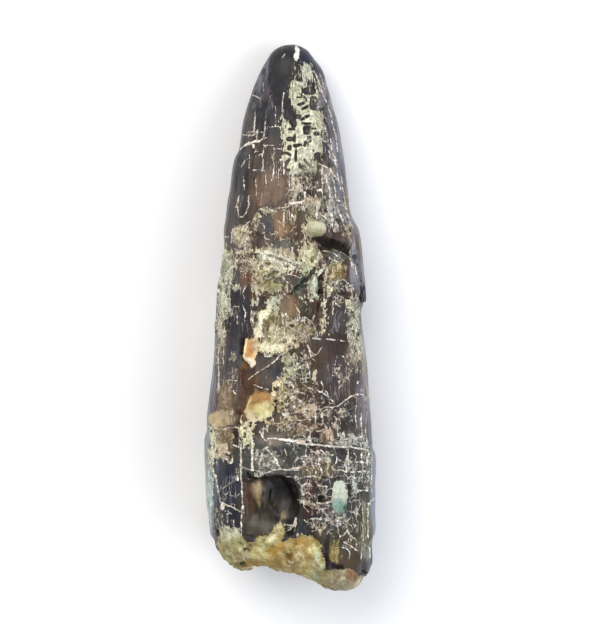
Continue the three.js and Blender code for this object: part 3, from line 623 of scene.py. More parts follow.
# dark strokes: gaps, gouges, slots and the undersides of flakes, sculpted in and painted near black as
# painted shade
GAPS = [
    # the gouge under the pebble
    (0.24, (4.6, 70.5), (6.2, 70.2), (8, 69.7), (9.6, 69.2), (11, 68.5), (12.3, 67.5), (13.5, 65.4)),
    (0.34, (8.2, 69.9), (10, 69.3), (11.6, 68.4)), (0.2, (6.2, 69.2), (6.9, 67.6), (7.6, 66.2)),
    (0.12, (8.2, 58.8), (9.6, 57.9)), (0.07, (10.2, 76.2), (12.2, 73.2)), (0.07, (9.4, 75.6), (11.2, 73)),
    (0.2, (13.2, 67.4), (13.8, 65), (14.2, 62.4)),
    # slanting groove
    (0.28, (0.1, 59.7), (1, 60.6), (2.3, 61.7), (3.5, 62.9), (4.5, 64), (5, 64.8)),
    (0.16, (1, 60), (2.3, 61), (3.6, 61.3)),
    # upright slot
    (0.3, (6.15, 62.6), (6.1, 60)), (0.14, (6, 58), (5.9, 54.2)),
    # under the lifted flake
    (0.3, (-9.4, 50.4), (-9.5, 47.8)),
    # under the flake at the right edge
    (0.5, (14.5, 61), (14.5, 58.2)),
    # elsewhere
    (0.15, (-4.2, 67.2), (-2.4, 66.6), (0, 65.8), (1.4, 65.2), (2.2, 64.6)),
    (0.1, (-5.2, 60), (-4, 59.6), (-3.2, 59.2)),
    (0.12, (8.6, 72), (8.9, 74), (9.3, 74.6), (10.2, 73), (10.5, 71.8)), (0.12, (-10.2, 10.2), (-9.4, 9.6)),
    (0.18, (-8.9, 9), (-8.1, 8.7)), (0.14, (6.9, 10.6), (7, 8.4)), (0.2, (7.3, 7.2), (7.4, 6), (7, 4.8)),
    (0.3, (8.4, 5.5), (9.4, 5.2), (10.4, 5.3)), (0.24, (-10.6, 5.7), (-9.2, 5.7)),
    (0.1, (-14.4, 12.4), (-14, 9.6)), (0.3, (9, 23.1), (9.4, 23.1)),
    (0.3, (-8.6, 24), (-7.9, 23), (-6.4, 22.8), (-5.2, 22.5)),
    (0.1, (-13.2, 12.6), (-11.6, 12.3), (-10.6, 10.9)), (0.3, (5.9, 19.2), (6.6, 18.8)),
    (0.22, (11.8, 21.6), (11.9, 19.6)), (0.2, (14.6, 4.4), (15.4, 3.8)),
]

calcite_field, calcite_way = strokes(CALCITE)
gap_field, _ = strokes(GAPS)
layer = tooth.data.attributes.new("calcite_way", "FLOAT_VECTOR", "POINT")
layer.data.foreach_set("vector", calcite_way.astype(np.float32).ravel())
keep("calcite", calcite_field)
keep("gap", gap_field)
print("strokes:", len(CALCITE), "pale and", len(GAPS), "dark")

# %% [markdown]
# ## Where the enamel is crazed
#
# Between the large cracks the enamel is crazed in three ways: *blocks* a few millimetres across with pale
# joints, a *mesh* of joints so close that little enamel is left, and *hairlines* that run along the tooth.
# The material draws all three. Here each gets a map of where it is strong, from broad soft ovals. A fourth
# map says where a thin dust of lime, too thin to be crust, clouds the enamel.

# %% Soft maps of crazing
SOFT_RIM = (0.35, 1.2)  # shares of the way to an oval's rim, between which its strength falls to nothing
# strength, offset, station, half width, half length, turn in degrees
BLOCKS = [
    (1, 9.5, 19, 8, 10), (0.8, -5, 27.4, 5, 2.6), (0.75, 3, 27, 8, 3.6), (0.7, -12, 20, 4, 8),
    (0.7, 8, 36, 8, 5), (0.95, 3.8, 19.4, 2.6, 4.6), (0.5, -6, 87, 4, 4), (0.8, 3, 80, 7, 5),
    (0.6, -11, 58, 4, 8), (0.7, -3, 72, 8, 5), (0.6, 6.4, 92, 2.4, 8),
]
MESH = [
    (1, 0, 44.6, 2.4, 5), (0.8, 3, 45, 2, 6), (0.95, 0, 38, 4.6, 5), (0.9, 2.6, 52.5, 4, 2.4),
    (1, -9.6, 70.4, 2.8, 3.4), (0.7, 5.6, 24.2, 3, 2.6), (0.82, 5.6, 14.2, 3.4, 3.8),
    (0.76, 9.4, 14.6, 2.8, 4.6), (0.7, 9, 35.6, 4, 2.4), (0.8, 4, 37, 5, 4), (0.9, -9, 66, 2.2, 4),
    (0.9, 3.6, 77.8, 5, 2.6), (0.8, 14.8, 26, 1.2, 4), (0.7, -14.2, 46.6, 1, 4), (0.7, -4, 33, 4, 2.4),
    (0.8, -2.6, 76, 3.6, 1.6), (0.8, 1.4, 82, 2.6, 3.4), (0.7, 0.2, 74.4, 2.2, 2.4),
    (0.7, -5.4, 63, 4.4, 4), (0.7, 9.4, 60, 3.6, 4.4), (0.7, -12.8, 55, 1.6, 6), (0.75, 12.6, 52, 1.6, 8),
    (0.7, -12.6, 35, 2.2, 7), (0.7, -3, 53, 4, 4), (0.7, 8, 82, 1.6, 5), (0.8, -5, 27, 6, 3),
    (0.95, 5.4, 26.6, 4.4, 2.2), (0.8, 10.6, 44, 3.2, 4), (0.75, 3.4, 56.6, 2.2, 2.6),
    (0.8, 11.6, 36.6, 2.8, 2.6), (0.7, 4, 41, 3, 3), (0.8, 5, 30.2, 10, 1.6), (0.8, 15, 24, 1.6, 6),
    (0.9, 12, 30.4, 3, 1.6), (0.78, 12, 26.2, 4, 2.6), (0.8, 6.4, 20, 1.8, 3.4), (0.85, 3.6, 20.4, 2, 3.4),
    (0.8, 6.4, 16.2, 2.4, 3.2), (0.6, 10.4, 12, 3, 3), (0.75, 8.2, 12.4, 2.2, 2.6), (0.9, 0, 33, 5, 2),
]
HAIRLINES = [
    (1, 14.6, 12, 2, 8), (1, 7.6, 82, 1.8, 6), (0.62, -5.5, 99, 5, 10), (0.6, -5, 82, 5, 6),
    (0.8, 9, 54, 2.4, 4.4), (0.9, 12.5, 68, 1.8, 9), (0.9, -12, 21, 2.6, 6), (1, 8.4, 92, 2.4, 13),
    (0.6, -9.6, 76, 2.4, 8), (0.9, 11.4, 77, 1.8, 7), (0.8, 13.8, 36, 2, 7), (0.9, 10, 42, 4, 6),
    (0.7, -10, 54, 3, 7), (0.7, -11.6, 42, 3, 8), (0.7, 5, 67.6, 3, 5),
]


def soft_map(rows):
    """Strength from 0 to 1 at each point: full in the middle of an oval, none past its rim."""
    best = np.zeros(len(points))
    for strength, offset, station, half_width, half_length, *turn in rows:
        u, v = steps_in_oval(stain_x, stain_s, offset, station, turn)
        reach = np.hypot(u / half_width, v / half_length)
        best = np.maximum(best, strength * (1 - smoothstep(reach, *SOFT_RIM)))
    return best


DUST = [
    # beside the crust of the upper half
    (0.75, 3.6, 84, 2.6, 4), (0.6, 1, 81, 2.6, 3), (0.5, 8, 81, 2, 6), (0.7, 3.4, 77.6, 5, 2.2),
    (0.6, -3, 76, 4.4, 1.4), (0.6, -6.8, 73.8, 0.9, 1.8, -30), (0.85, -9.2, 70.6, 2.6, 4),
    (0.65, 5.4, 75, 3, 3.4), (0.72, 8.6, 75.4, 2.2, 5), (0.45, 11.6, 72.4, 1.9, 6, 14),
    (0.4, 3.5, 96, 4, 10),
    # round the middle
    (0.85, -12.6, 64.6, 1.6, 7), (0.85, -13, 57, 1.4, 6), (0.7, -13.8, 51, 1.1, 5), (1, -4, 64, 5, 4.4),
    (0.9, -3, 67.4, 5.4, 2), (0.8, 1.6, 65.6, 2, 1.8), (0.5, 0.4, 69.8, 2, 1.6),
    (0.95, 4.4, 67.2, 2.5, 4.2), (0.66, 9.4, 63.8, 3, 4), (0.8, 5, 61, 2.4, 3), (0.55, 0, 60.8, 3, 1.6),
    (0.95, -4, 53, 4.2, 4.6), (0.85, 1, 52, 5.4, 3), (0.78, 12.7, 54.4, 1.9, 7), (0.5, 8.6, 60, 2.4, 2),
    (0.6, -2.6, 58.4, 2.2, 2.4), (0.45, 3.4, 56.8, 1.8, 2.2),
    # below the middle
    (0.85, 0, 45.4, 1.9, 3.6), (0.8, -1.8, 39.8, 1.7, 3.8), (0.7, 0.9, 39.6, 1.6, 3.4),
    (0.5, 3.2, 39, 1.8, 3), (0.8, 2.4, 36.9, 4, 1.2), (0.3, 3, 44.8, 1.6, 3.4), (0.6, 0, 34, 4.4, 2),
    (0.7, 12.6, 48.2, 1.8, 3.4), (0.7, -12.8, 38.4, 2.2, 8), (0.9, -13.6, 31, 1.9, 5),
    (0.6, -11.2, 46, 1.2, 3), (0.6, 7, 31, 2.4, 2), (0.75, 12.4, 30.7, 3.4, 1.4), (0.35, 8, 36.8, 3, 1.4),
    (0.5, 15.2, 40, 0.9, 9), (0.45, 4.6, 35.4, 3, 3), (0.6, 5.6, 27.4, 3.4, 2), (0.6, -8.6, 31.6, 2, 3.4),
    # near the root
    # painted sheen: the first row below lays pale dust along the left rim as a band of painted sheen
    (0.95, -16.1, 20, 1.1, 9), (0.6, 5.2, 24.4, 4, 2.8), (0.35, 6, 16, 3.4, 5), (0.5, 8.4, 12.4, 1.6, 3),
    (0.3, 12, 20, 3, 5), (0.45, 14.6, 12, 2, 7), (0.85, 9, 8.6, 1.5, 4), (0.5, -14.6, 15, 2, 4),
    (0.55, -4, 27, 6.4, 3.4), (0.4, 7, 27, 5, 2.4), (0.85, -12.4, 30.6, 1.6, 3),
]

SIDE_HAIRLINES = 0.75  # their strength on the sides of the tooth
mesh, dust = soft_map(MESH), soft_map(DUST)
keep("blocks", soft_map(BLOCKS))
keep("mesh", mesh)
keep("hairlines", np.maximum(soft_map(HAIRLINES), SIDE_HAIRLINES * side))
keep("dust", dust)
print("mean strength of dust:", round(float(dust.mean()), 2))

# %% [markdown]
# ## Sandstone in the broken root
#
# The hollow root filled with sand, which set to an ochre sandstone. It shows where the enamel has broken away
# from it near the root, and all over the broken end.

# %% Where the sandstone fill shows
FILL = [
    (-11.8, 8.4, 3.4, 4.2), (-12.9, 11.2, 1.5, 2.2), (-10.9, 11.4, 0.9, 1.8), (-7.6, 7.4, 2.8, 3.2),
    (-4.4, 9, 3, 3.4), (-2.6, 11.8, 1.4, 2.4, -20), (0, 7.2, 3.2, 3.9), (3.2, 7.8, 3.4, 4),
    (5.2, 5.4, 1.9, 3.6), (10.2, 2.2, 4.4, 2.6), (6.6, 2.6, 2, 2), (-10, 4.6, 3.4, 2),
]
END_FACING = 0.55  # a point whose normal leans this far towards the root is on the broken end
END_STEEPNESS = 6  # mm inside the fill for each unit that it leans further
END_FADES = (7, 12)  # stations between which this stops counting
END_CUT = 9  # mm by which it is put outside the fill there

end_field = (-normals[:, 1] - END_FACING) * END_STEEPNESS - smoothstep(stations, *END_FADES) * END_CUT
fill_field = np.maximum(ovals(FILL, power=2.2), end_field)
keep("fill", fill_field)
print("share of the surface that is fill:", round(float((fill_field > 0).mean()), 3))

# %% [markdown]
# ## Carving and sculpting
#
# The relief is sculpted by moving every point along its normal by the sum of what lies there: crust stands
# proud, the lifted flake stands prouder, gaps and the chipped pit go in, the fill is lumpy like sandstone,
# and the enamel has fine flutes that run along the tooth. This is what a sculptor's brushes do, with the
# place, width and depth of each stroke written down.

# %% Hollows, bowls with sloping walls, and rises
# depth in mm, offset, station, half width, half length, turn
HOLLOWS = [
    (1.2, 8.6, 69.5, 3.8, 0.75, -18), (1, 12.3, 67.6, 1.7, 0.7, -40), (0.9, 6.1, 60.9, 0.6, 2.2),
    (0.6, 5.9, 56.2, 0.6, 2.6), (0.6, -5.4, 22.2, 3.8, 1), (0.5, -8.4, 17.5, 0.8, 5.2),
    (0.6, 0, 13.2, 1.1, 1.5), (0.5, 2.6, 14, 1, 1.6), (0.5, 6.3, 19, 0.7, 0.6), (0.5, 7, 8.2, 0.4, 3),
    (0.8, 10.7, 60.7, 1.3, 1.4), (0.6, -5.2, 57.5, 1.2, 1.1), (0.5, -7, 57.2, 0.8, 0.7),
    (0.5, 0.5, 63.2, 3, 1.4), (0.35, -6.4, 70.9, 0.7, 0.6), (0.6, 6.9, 68.9, 2.4, 1.1),
    (0.4, 5.4, 86.7, 0.8, 1), (0.6, -11.4, 31.2, 0.8, 0.9), (0.3, 1.4, 79.2, 1.3, 0.8),
    (0.7, -12.2, 7.2, 1, 1.4), (0.6, -0.6, 7, 0.9, 1.3), (0.5, -3.6, 8.6, 0.8, 1.2),
    (0.5, 3.6, 6.6, 0.8, 1),
]
BOWLS = [
    (1.2, -2.2, 19.8, 2.8, 3.4), (1, -0.4, 18.6, 1.7, 3.6, 6), (0.6, -5.5, 14.2, 3.4, 3.2),
    (0.6, -6.2, 37.6, 3.2, 3.4), (0.7, -9.4, 41.5, 1.6, 4.8), (0.5, -10.3, 35.5, 1.4, 3.2, 14),
    (0.6, 9.4, 52, 2.6, 3.2), (0.5, 0.5, 74.6, 2.6, 2.4), (0.5, 10, 41.5, 3.6, 4.4),
    (0.5, 10.8, 35.2, 2.4, 2.6), (0.4, -10, 55, 2.4, 6),
]
RISES = [
    (0.9, -7.7, 48.3, 1.35, 2.6, -8), (0.5, -6.4, 20.4, 1.2, 1.9), (0.5, -5.6, 55, 0.5, 2, -20),
    (0.4, -3.8, 48.8, 2.4, 1.3), (0.7, -8.6, 10.9, 1.8, 1, -14), (0.5, -3.6, 11.2, 1.5, 1.2),
    (0.5, -9.4, 8.2, 2.3, 1.4), (0.5, 3.2, 9.4, 2.4, 1.1), (0.35, 9.2, 63.4, 1.3, 1.9),
    (0.3, 4.8, 61.6, 0.8, 1.3), (0.3, 11.2, 73.6, 0.9, 3, 34), (0.35, -4.4, 66.9, 2.8, 0.8, -14),
    (0.3, 4.9, 43.4, 0.6, 1.8), (0.5, 10.4, 2.6, 3.6, 1.7), (0.4, 3.6, 87.6, 2, 3.6),
    (0.35, -12.6, 34.6, 1.8, 1.5), (0.4, -13.4, 29.9, 1.5, 2.4),
]


def shaped(rows, power, softness):
    """Sum of the depths of some ovals, each with walls that are so many mm wide."""
    total = np.zeros(len(points))
    for depth, *oval in rows:
        total += depth * smoothstep(ovals([oval], power), -softness / 2, softness)
    return total


uneven = 1 + rough((0.3, 1.2, 31), (0.2, 0.6, 32))
hollow = shaped(HOLLOWS, power=2.8, softness=0.9) * uneven + shaped(BOWLS, power=2.0, softness=2.4)
rise = shaped(RISES, power=2.6, softness=0.45) * uneven
print("deepest hollow, mm:", round(float(hollow.max()), 2), "highest rise:", round(float(rise.max()), 2))

# %% Move the points
CRUST_THICKNESS, CALCITE_LIP, FILL_SINK = 0.32, 0.06, 0.3  # mm
# the walls of each, in mm inside its edge: where they begin and where they reach the full height
CRUST_WALL, FILL_WALL, SMOOTH_WALL, LIP_WALL = (-0.12, 0.16), (-0.2, 0.3), (-0.2, 0.2), (-0.2, 0.1)
CRUSHED = 1.1  # share of the crumbs' height that crushed enamel gets
GAP_STEEPNESS = 1.7  # mm of depth for each mm inside the gap
GAP_MARGIN, GAP_FLOOR = 0.16, 0.75  # mm outside its edge where a gap starts, and inside it where it is flat
ALONG_THE_TOOTH = np.array([1, 0.11, 1])

crust_edge = np.minimum(crust_field + rough((0.22, 0.7, 7)), -window_field)
under_crust = smoothstep(crust_edge, *CRUST_WALL)
under_fill = smoothstep(fill_field + rough((0.3, 0.9, 8)), *FILL_WALL)
bare = (1 - under_crust) * (1 - under_fill) * (1 - smoothstep(smooth_field, *SMOOTH_WALL))

flutes = rough((0.075, 0.75, 9), (0.1, 2.6, 10), at=points * ALONG_THE_TOOTH)
crumbs = rough((0.12, 0.9, 11), (0.07, 0.5, 12))
sand = rough((0.6, 2.6, 13), (0.24, 1.2, 14), (0.08, 0.55, 15))

relief = bare * (flutes + mesh * CRUSHED * crumbs)
relief += under_crust * (CRUST_THICKNESS + crumbs)
relief += under_fill * (1 - under_crust) * (sand - FILL_SINK)
relief += CALCITE_LIP * smoothstep(calcite_field, *LIP_WALL) * bare
relief += rise - hollow
relief += dust * bare * rough((0.12, 1.1, 16))
relief -= GAP_STEEPNESS * np.clip(gap_field + GAP_MARGIN + rough((0.12, 0.8, 17)), 0, GAP_FLOOR)

moved = points + normals * relief[:, None]
moved[:, 2] = np.maximum(moved[:, 2], 0)
moved[:, 1] += low[1]
tooth.data.vertices.foreach_set("co", (moved * MM).astype(np.float32).ravel())
tooth.data.update()
print("relief from", round(float(relief.min()), 2), "to", round(float(relief.max()), 2), "mm")

# %% [markdown]
# ## Stains, painted shade and painted sheen
#
# The enamel took up metals from the ground: iron stained it rust and ochre, manganese almost black, and where
# it is thin it looks slate blue. The sandstone is pale sage where it is thin, cream where it is thick, and
# ochre inside the root. Each stain is a soft oval of one colour, laid over those before it, as a painter
# would glaze a model. Some ovals are painted shade, in the chipped pit, the gouge, the groove, the fill's
# recesses and under a flake; some are painted sheen along the rims; and the round pebble gets painted light
# and shade. The colours are written as sRGB hex values.


# %% Glaze the stains, painted shade and painted sheen onto the points
def linear(hex_colour):
    """An sRGB hex value as a linear colour with alpha."""
    values = [int(hex_colour[i : i + 2], 16) / 255 for i in (1, 3, 5)]
    return [v / 12.92 if v <= 0.04045 else ((v + 0.055) / 1.055) ** 2.4 for v in values] + [1.0]


ENAMEL_BASE = "#3a3435"
ENAMEL_STAINS_SHADE_AND_SHEEN = [
    # broad washes
    ("#5a493d", 0, 68, 15, 15), ("#4c3f38", 0, 42, 16, 13), ("#54443c", 0, 82, 9, 7),
    ("#42403b", 2, 24, 15, 8),
    # tip
    # painted sheen: the pale lilac and bluish greys near the right rim, at 6.6, 8, 8.5, 9.4 and 9.8, and near
    # the left rim, at -4.6 and -6.2
    ("#302e30", -2.6, 104.5, 3.5, 5.5), ("#45443c", 1.5, 102.5, 1.8, 4), ("#343848", 4.6, 107.5, 2.6, 2.6),
    ("#42414c", 6.2, 104, 1.4, 3), ("#2f2f32", -4.5, 97, 4.2, 6), ("#8f8790", 6.6, 99.6, 0.7, 4.6, -14),
    ("#3a3a36", 7.6, 93, 1.6, 6), ("#4e4543", -8.2, 92.5, 1.8, 4), ("#50443e", -5.5, 87, 3.2, 4.5),
    ("#2f2e32", -10.2, 84, 1.7, 6), ("#8a7260", -3.2, 81, 3.2, 2.8), ("#7b6555", -5.5, 79.2, 2.6, 2.2),
    ("#62584c", 3.8, 84.5, 1.8, 2.6), ("#6f6a72", 9.8, 86, 0.9, 7), ("#6f655a", 6.6, 80.5, 1.8, 4.4),
    ("#7f7e80", 9.4, 80.6, 1.1, 4.4), ("#76756e", 8.8, 76.6, 1.3, 2.4), ("#4a3c36", 5.4, 86.7, 0.8, 1),
    ("#a89c92", 7.1, 83.7, 0.8, 1.7), ("#6f6250", 1.1, 79.3, 1.3, 0.7), ("#6d7079", -4.6, 106, 0.5, 3),
    ("#6f7078", -6.2, 102.5, 0.5, 3), ("#222125", -4, 102, 0.5, 4), ("#564f53", -4.8, 100.4, 0.7, 2.6),
    ("#2b2d38", 4.6, 106.6, 0.9, 1.6), ("#4c4c50", 7.1, 91.6, 0.6, 3.4), ("#6a6a74", 8, 95, 0.5, 3),
    ("#8b8b96", 8.5, 88, 0.6, 2.4),
    # upper middle
    ("#443e3b", -9.4, 77.5, 1.9, 4), ("#574e48", -5.4, 73.2, 1.9, 3.6), ("#8f7860", -0.8, 74.4, 2.8, 2.8),
    ("#9a7b5f", -1.6, 72.4, 1.4, 1.6), ("#d8b88c", -1.3, 74.4, 0.3, 1.6), ("#796449", 1.2, 74, 0.9, 1.8),
    ("#5d5549", 3.6, 76, 2.2, 3.4), ("#4a443c", 5.4, 75.6, 1.4, 1.6), ("#54453a", 9.3, 72.5, 1.2, 1.9),
    ("#44424a", -4.7, 73, 0.9, 2), ("#8d8c90", 11.3, 74.5, 1.1, 3.2, 34), ("#5c5450", -9.8, 71.2, 2.2, 3),
    # painted shade: the two near-black ovals below lie in the gouge under the pebble, and the dark teal oval
    # at 2.7 after them along the slanting groove
    ("#2b2926", 9, 69.4, 4.2, 1, -18), ("#2b2926", 12.5, 67.2, 1.7, 0.8, -42),
    ("#39433f", 2.7, 62.2, 0.8, 3.2, -44), ("#5f625c", 9, 67, 3, 1.5), ("#5d5e57", -1.4, 68.9, 2.8, 1.6),
    ("#7e7450", 4.4, 67.4, 1.5, 2), ("#76726c", -2.6, 62.4, 3, 1.4), ("#7d6a66", -9.4, 63.6, 1.4, 3),
    ("#655a58", -10.4, 63, 1.1, 2), ("#9a7560", -8.2, 63.8, 1.2, 2.6), ("#7d5a3c", -7.2, 60.8, 0.7, 1.8),
    ("#45474a", -10, 58.5, 1.7, 2.6), ("#62675f", 2.6, 61.9, 2.4, 1.6, 50),
    # painted sheen: the pale greys at 12.9 and, on the next line, 13.9 along the right rim
    ("#9a8258", 9.2, 63.5, 1.5, 2.2), ("#4b3a3c", 10.7, 60.7, 1.7, 1.7), ("#9a9a9e", 12.9, 66, 0.8, 5),
    # painted shadow: the near-black oval at 14.6 lies under the flake at the right edge
    ("#85838a", 13.9, 62, 0.9, 4.5), ("#20202a", 14.6, 60, 0.6, 2.2),
    # middle
    ("#3a363b", -10.1, 55.4, 2.2, 5.6), ("#4b4038", -5.2, 57.5, 1.5, 1.3), ("#33282a", -7, 57.2, 1, 0.9),
    ("#8f7860", 0, 56.4, 2, 3), ("#5a4c3f", 0.4, 54, 0.7, 0.6), ("#544c40", 3.4, 56.8, 1.6, 2),
    ("#4a3628", 5.6, 56.4, 0.6, 2.4), ("#3f352f", 9.2, 54.6, 2.6, 4.2), ("#4c2f1e", 5.9, 56, 0.7, 2.8),
    ("#574d46", -4, 44.6, 2.8, 3.6), ("#8f8460", -3.2, 54.4, 2.4, 3.2), ("#65584b", 6.4, 54.6, 1, 3),
    ("#45454b", -11.2, 47.4, 1.5, 3.6), ("#5c5854", -11.2, 45.5, 0.6, 1.1),
    # painted sheen: the pale greys at 14.7 along the right rim
    ("#4e4a49", -12, 43.2, 1.6, 1.3), ("#a6a9a5", 14.7, 49, 0.8, 3.6), ("#989288", 14.7, 44.4, 0.8, 3),
    ("#4a4038", 3, 43, 1.1, 1), ("#6a625e", -14.2, 47.5, 1.2, 3.6), ("#573d30", -9.5, 41.5, 1, 4.6),
    ("#6e5238", -9.2, 35.6, 1, 2.6), ("#4a2c22", -10.5, 35.2, 0.9, 3, 14), ("#6b4f38", -7.5, 42, 1.2, 1.5),
    ("#564939", 3, 46, 3.4, 5.5), ("#7a5a3a", -9, 45.4, 0.7, 0.9), ("#b09470", -6.2, 38.8, 2.3, 1.4),
    ("#8f6f47", -7.6, 37.6, 0.8, 1.2), ("#a8946c", -8.5, 36.2, 0.6, 2), ("#5b4d3d", 1, 39, 4.6, 5.5),
    ("#3f332e", 6.5, 38.6, 0.9, 1.2), ("#33363a", -3, 44.2, 1.1, 1.6), ("#3f3f38", 3, 43.6, 1, 2),
    ("#493c35", 9.6, 43, 4, 4.4), ("#7d6d62", 12.4, 47.4, 1.3, 2.8), ("#a38c70", -12.6, 38.5, 1.8, 2.8),
    ("#dcc9a0", -13.2, 34.8, 2, 1.6), ("#4a3732", 7.6, 35.4, 1.5, 1.4), ("#3b3633", 11, 35.4, 2, 2.4),
    # painted sheen: the lilac grey at 14.8 along the right rim
    ("#7e777e", 14.8, 38.5, 1.2, 5.6), ("#6f5a48", 0.8, 33.4, 4.5, 2.2), ("#6b665b", -3.4, 31.4, 3, 1.6),
    ("#4a483c", 0, 90.4, 1.2, 1.4),
    # below the mended break
    ("#8a7a62", -12.6, 30.4, 1.6, 2.6), ("#3a2a24", -10.9, 31.2, 0.9, 1), ("#62635c", -5, 26.4, 5.4, 3.6),
    ("#84857c", -2.4, 25.6, 4, 1.8), ("#3b3e39", -1.5, 28.5, 2.4, 1.4), ("#8a8073", -3.2, 30.6, 2.6, 1.4),
    ("#7a6350", 7.2, 31.2, 1.5, 1.5), ("#8e8c80", 12.4, 30.6, 2.6, 1.4), ("#43332a", 5.3, 31.5, 0.5, 1.2),
    ("#5c5c55", 1.2, 26.2, 2.8, 2.6), ("#35352f", 8.8, 27.2, 1, 1.5), ("#35352f", 13.4, 27, 1.7, 1.7),
    ("#7d7157", 5.6, 24.4, 3.2, 1.9), ("#a8925a", 7.5, 24.5, 0.7, 0.5), ("#373a45", -12, 21.6, 2.2, 5),
    # painted sheen: the bluish greys at -15.2 and -16.4 along the left rim
    ("#5a5a6e", -14.6, 25.6, 0.4, 1.8), ("#6a7a86", -15.2, 20.8, 0.8, 3.4), ("#c3cec4", -16.4, 18, 0.9, 9),
    # painted shade: the near-black ovals from -2.6 to 0.6 here and on the next line darken the deep middle of
    # the chipped pit, darkest under its upper wall
    ("#3a322a", -5, 17.6, 4.8, 5.8), ("#4d4234", -8.4, 17.2, 1.1, 6.2), ("#2c2520", -2.6, 18.2, 2.4, 3.4),
    ("#2a231d", 0.6, 18.2, 1.4, 3), ("#16130f", -1.4, 20.9, 3.2, 1.5), ("#1a1713", -0.6, 18.4, 1, 2.2),
    ("#3f3329", 1, 18, 0.22, 2.2), ("#352b22", 0.2, 17.4, 0.2, 1.8), ("#4a3d30", -3.6, 17.6, 0.22, 1.8),
    ("#5c5044", -5, 18, 0.25, 2.2), ("#553c30", -8, 20, 0.8, 3.2), ("#a8967c", -6.5, 20.6, 1.3, 1.4),
    ("#94835f", -6.2, 18.8, 0.7, 1.3), ("#b8a68a", -6.7, 21.2, 0.7, 0.5), ("#7c6c50", -7, 19.6, 0.3, 0.7),
    # painted shade: the near-black oval at -7.4 lies under the upper rim of the chipped pit
    ("#2b1812", -7.4, 23.3, 1.8, 0.9), ("#44392f", -1.6, 17.6, 0.4, 1.4),
    ("#8d8263", -1.7, 15.3, 0.4, 1.6, -35), ("#5a544b", -6, 13.6, 2.4, 2.2),
    ("#6c6459", -6.8, 14.6, 0.6, 0.9), ("#6a6150", -4.6, 12.8, 1.4, 0.4, 30), ("#23211d", 0, 13.4, 1.3, 2),
    ("#292c2b", 2.6, 14, 1.2, 1.9), ("#2f323a", -11.8, 15.2, 2, 1.9), ("#53544c", 3.5, 20, 1.8, 2.8),
    ("#2f2019", 6.5, 18.9, 1.1, 0.8), ("#46534c", 10, 15.9, 0.9, 0.9), ("#3b302a", 6.4, 20.4, 1.6, 2.6),
    ("#2f332e", 11.8, 17.5, 1.1, 1.9), ("#2f332e", 14, 19, 1, 1.6), ("#6c6945", 14.8, 13, 1.5, 5.5),
    # painted sheen: the bluish grey at 16.4 along the right rim
    ("#4a4a38", 13.6, 15, 0.8, 3), ("#7f868f", 16.4, 23, 0.6, 8.5), ("#4a3820", 11.8, 6.8, 2.6, 2.4),
    ("#857a4a", 8.9, 9.2, 0.9, 2.8), ("#a98b52", 8.6, 7.6, 0.6, 1), ("#767a6c", 15.1, 8, 0.9, 1.4),
    ("#33241f", 9.5, 5.2, 1.3, 0.7), ("#1d1418", 15.1, 4.9, 0.9, 1.1), ("#2d211a", 7.1, 8, 0.6, 3.4),
    ("#2c2420", 5.4, 14.6, 2.4, 2.4), ("#45391f", 12.2, 11, 1.8, 4), ("#3c3e3a", 3, 15.6, 1.4, 1.8),
    ("#3f351f", 9.4, 10.6, 1.2, 2.4), ("#4f4433", 6, 10.8, 1.2, 2.2), ("#603d32", 4.6, 26.4, 1.8, 1.4),
    ("#512f27", 5.6, 28.3, 1.8, 1), ("#4e3029", 3.6, 18.6, 1, 3.4), ("#5c3c31", 4.2, 21.6, 1.2, 1),
    ("#39322e", 10.6, 27, 1.4, 1.6), ("#77683a", 7.4, 26, 1, 1.6),
    # painted sheen: pale bluish streaks along the rims, where the glossy sides catch reflected light
    ("#8d979c", -16.6, 22, 0.9, 16), ("#858b96", 16.9, 26, 0.6, 20), ("#77757c", -15.4, 44, 0.6, 9),
    ("#7c7c88", 9.9, 86, 0.5, 9), ("#544f4e", -11.8, 76, 0.7, 12), ("#74747f", 8.6, 98, 0.5, 6),
]
STONE_BASE = "#c3c0a5"
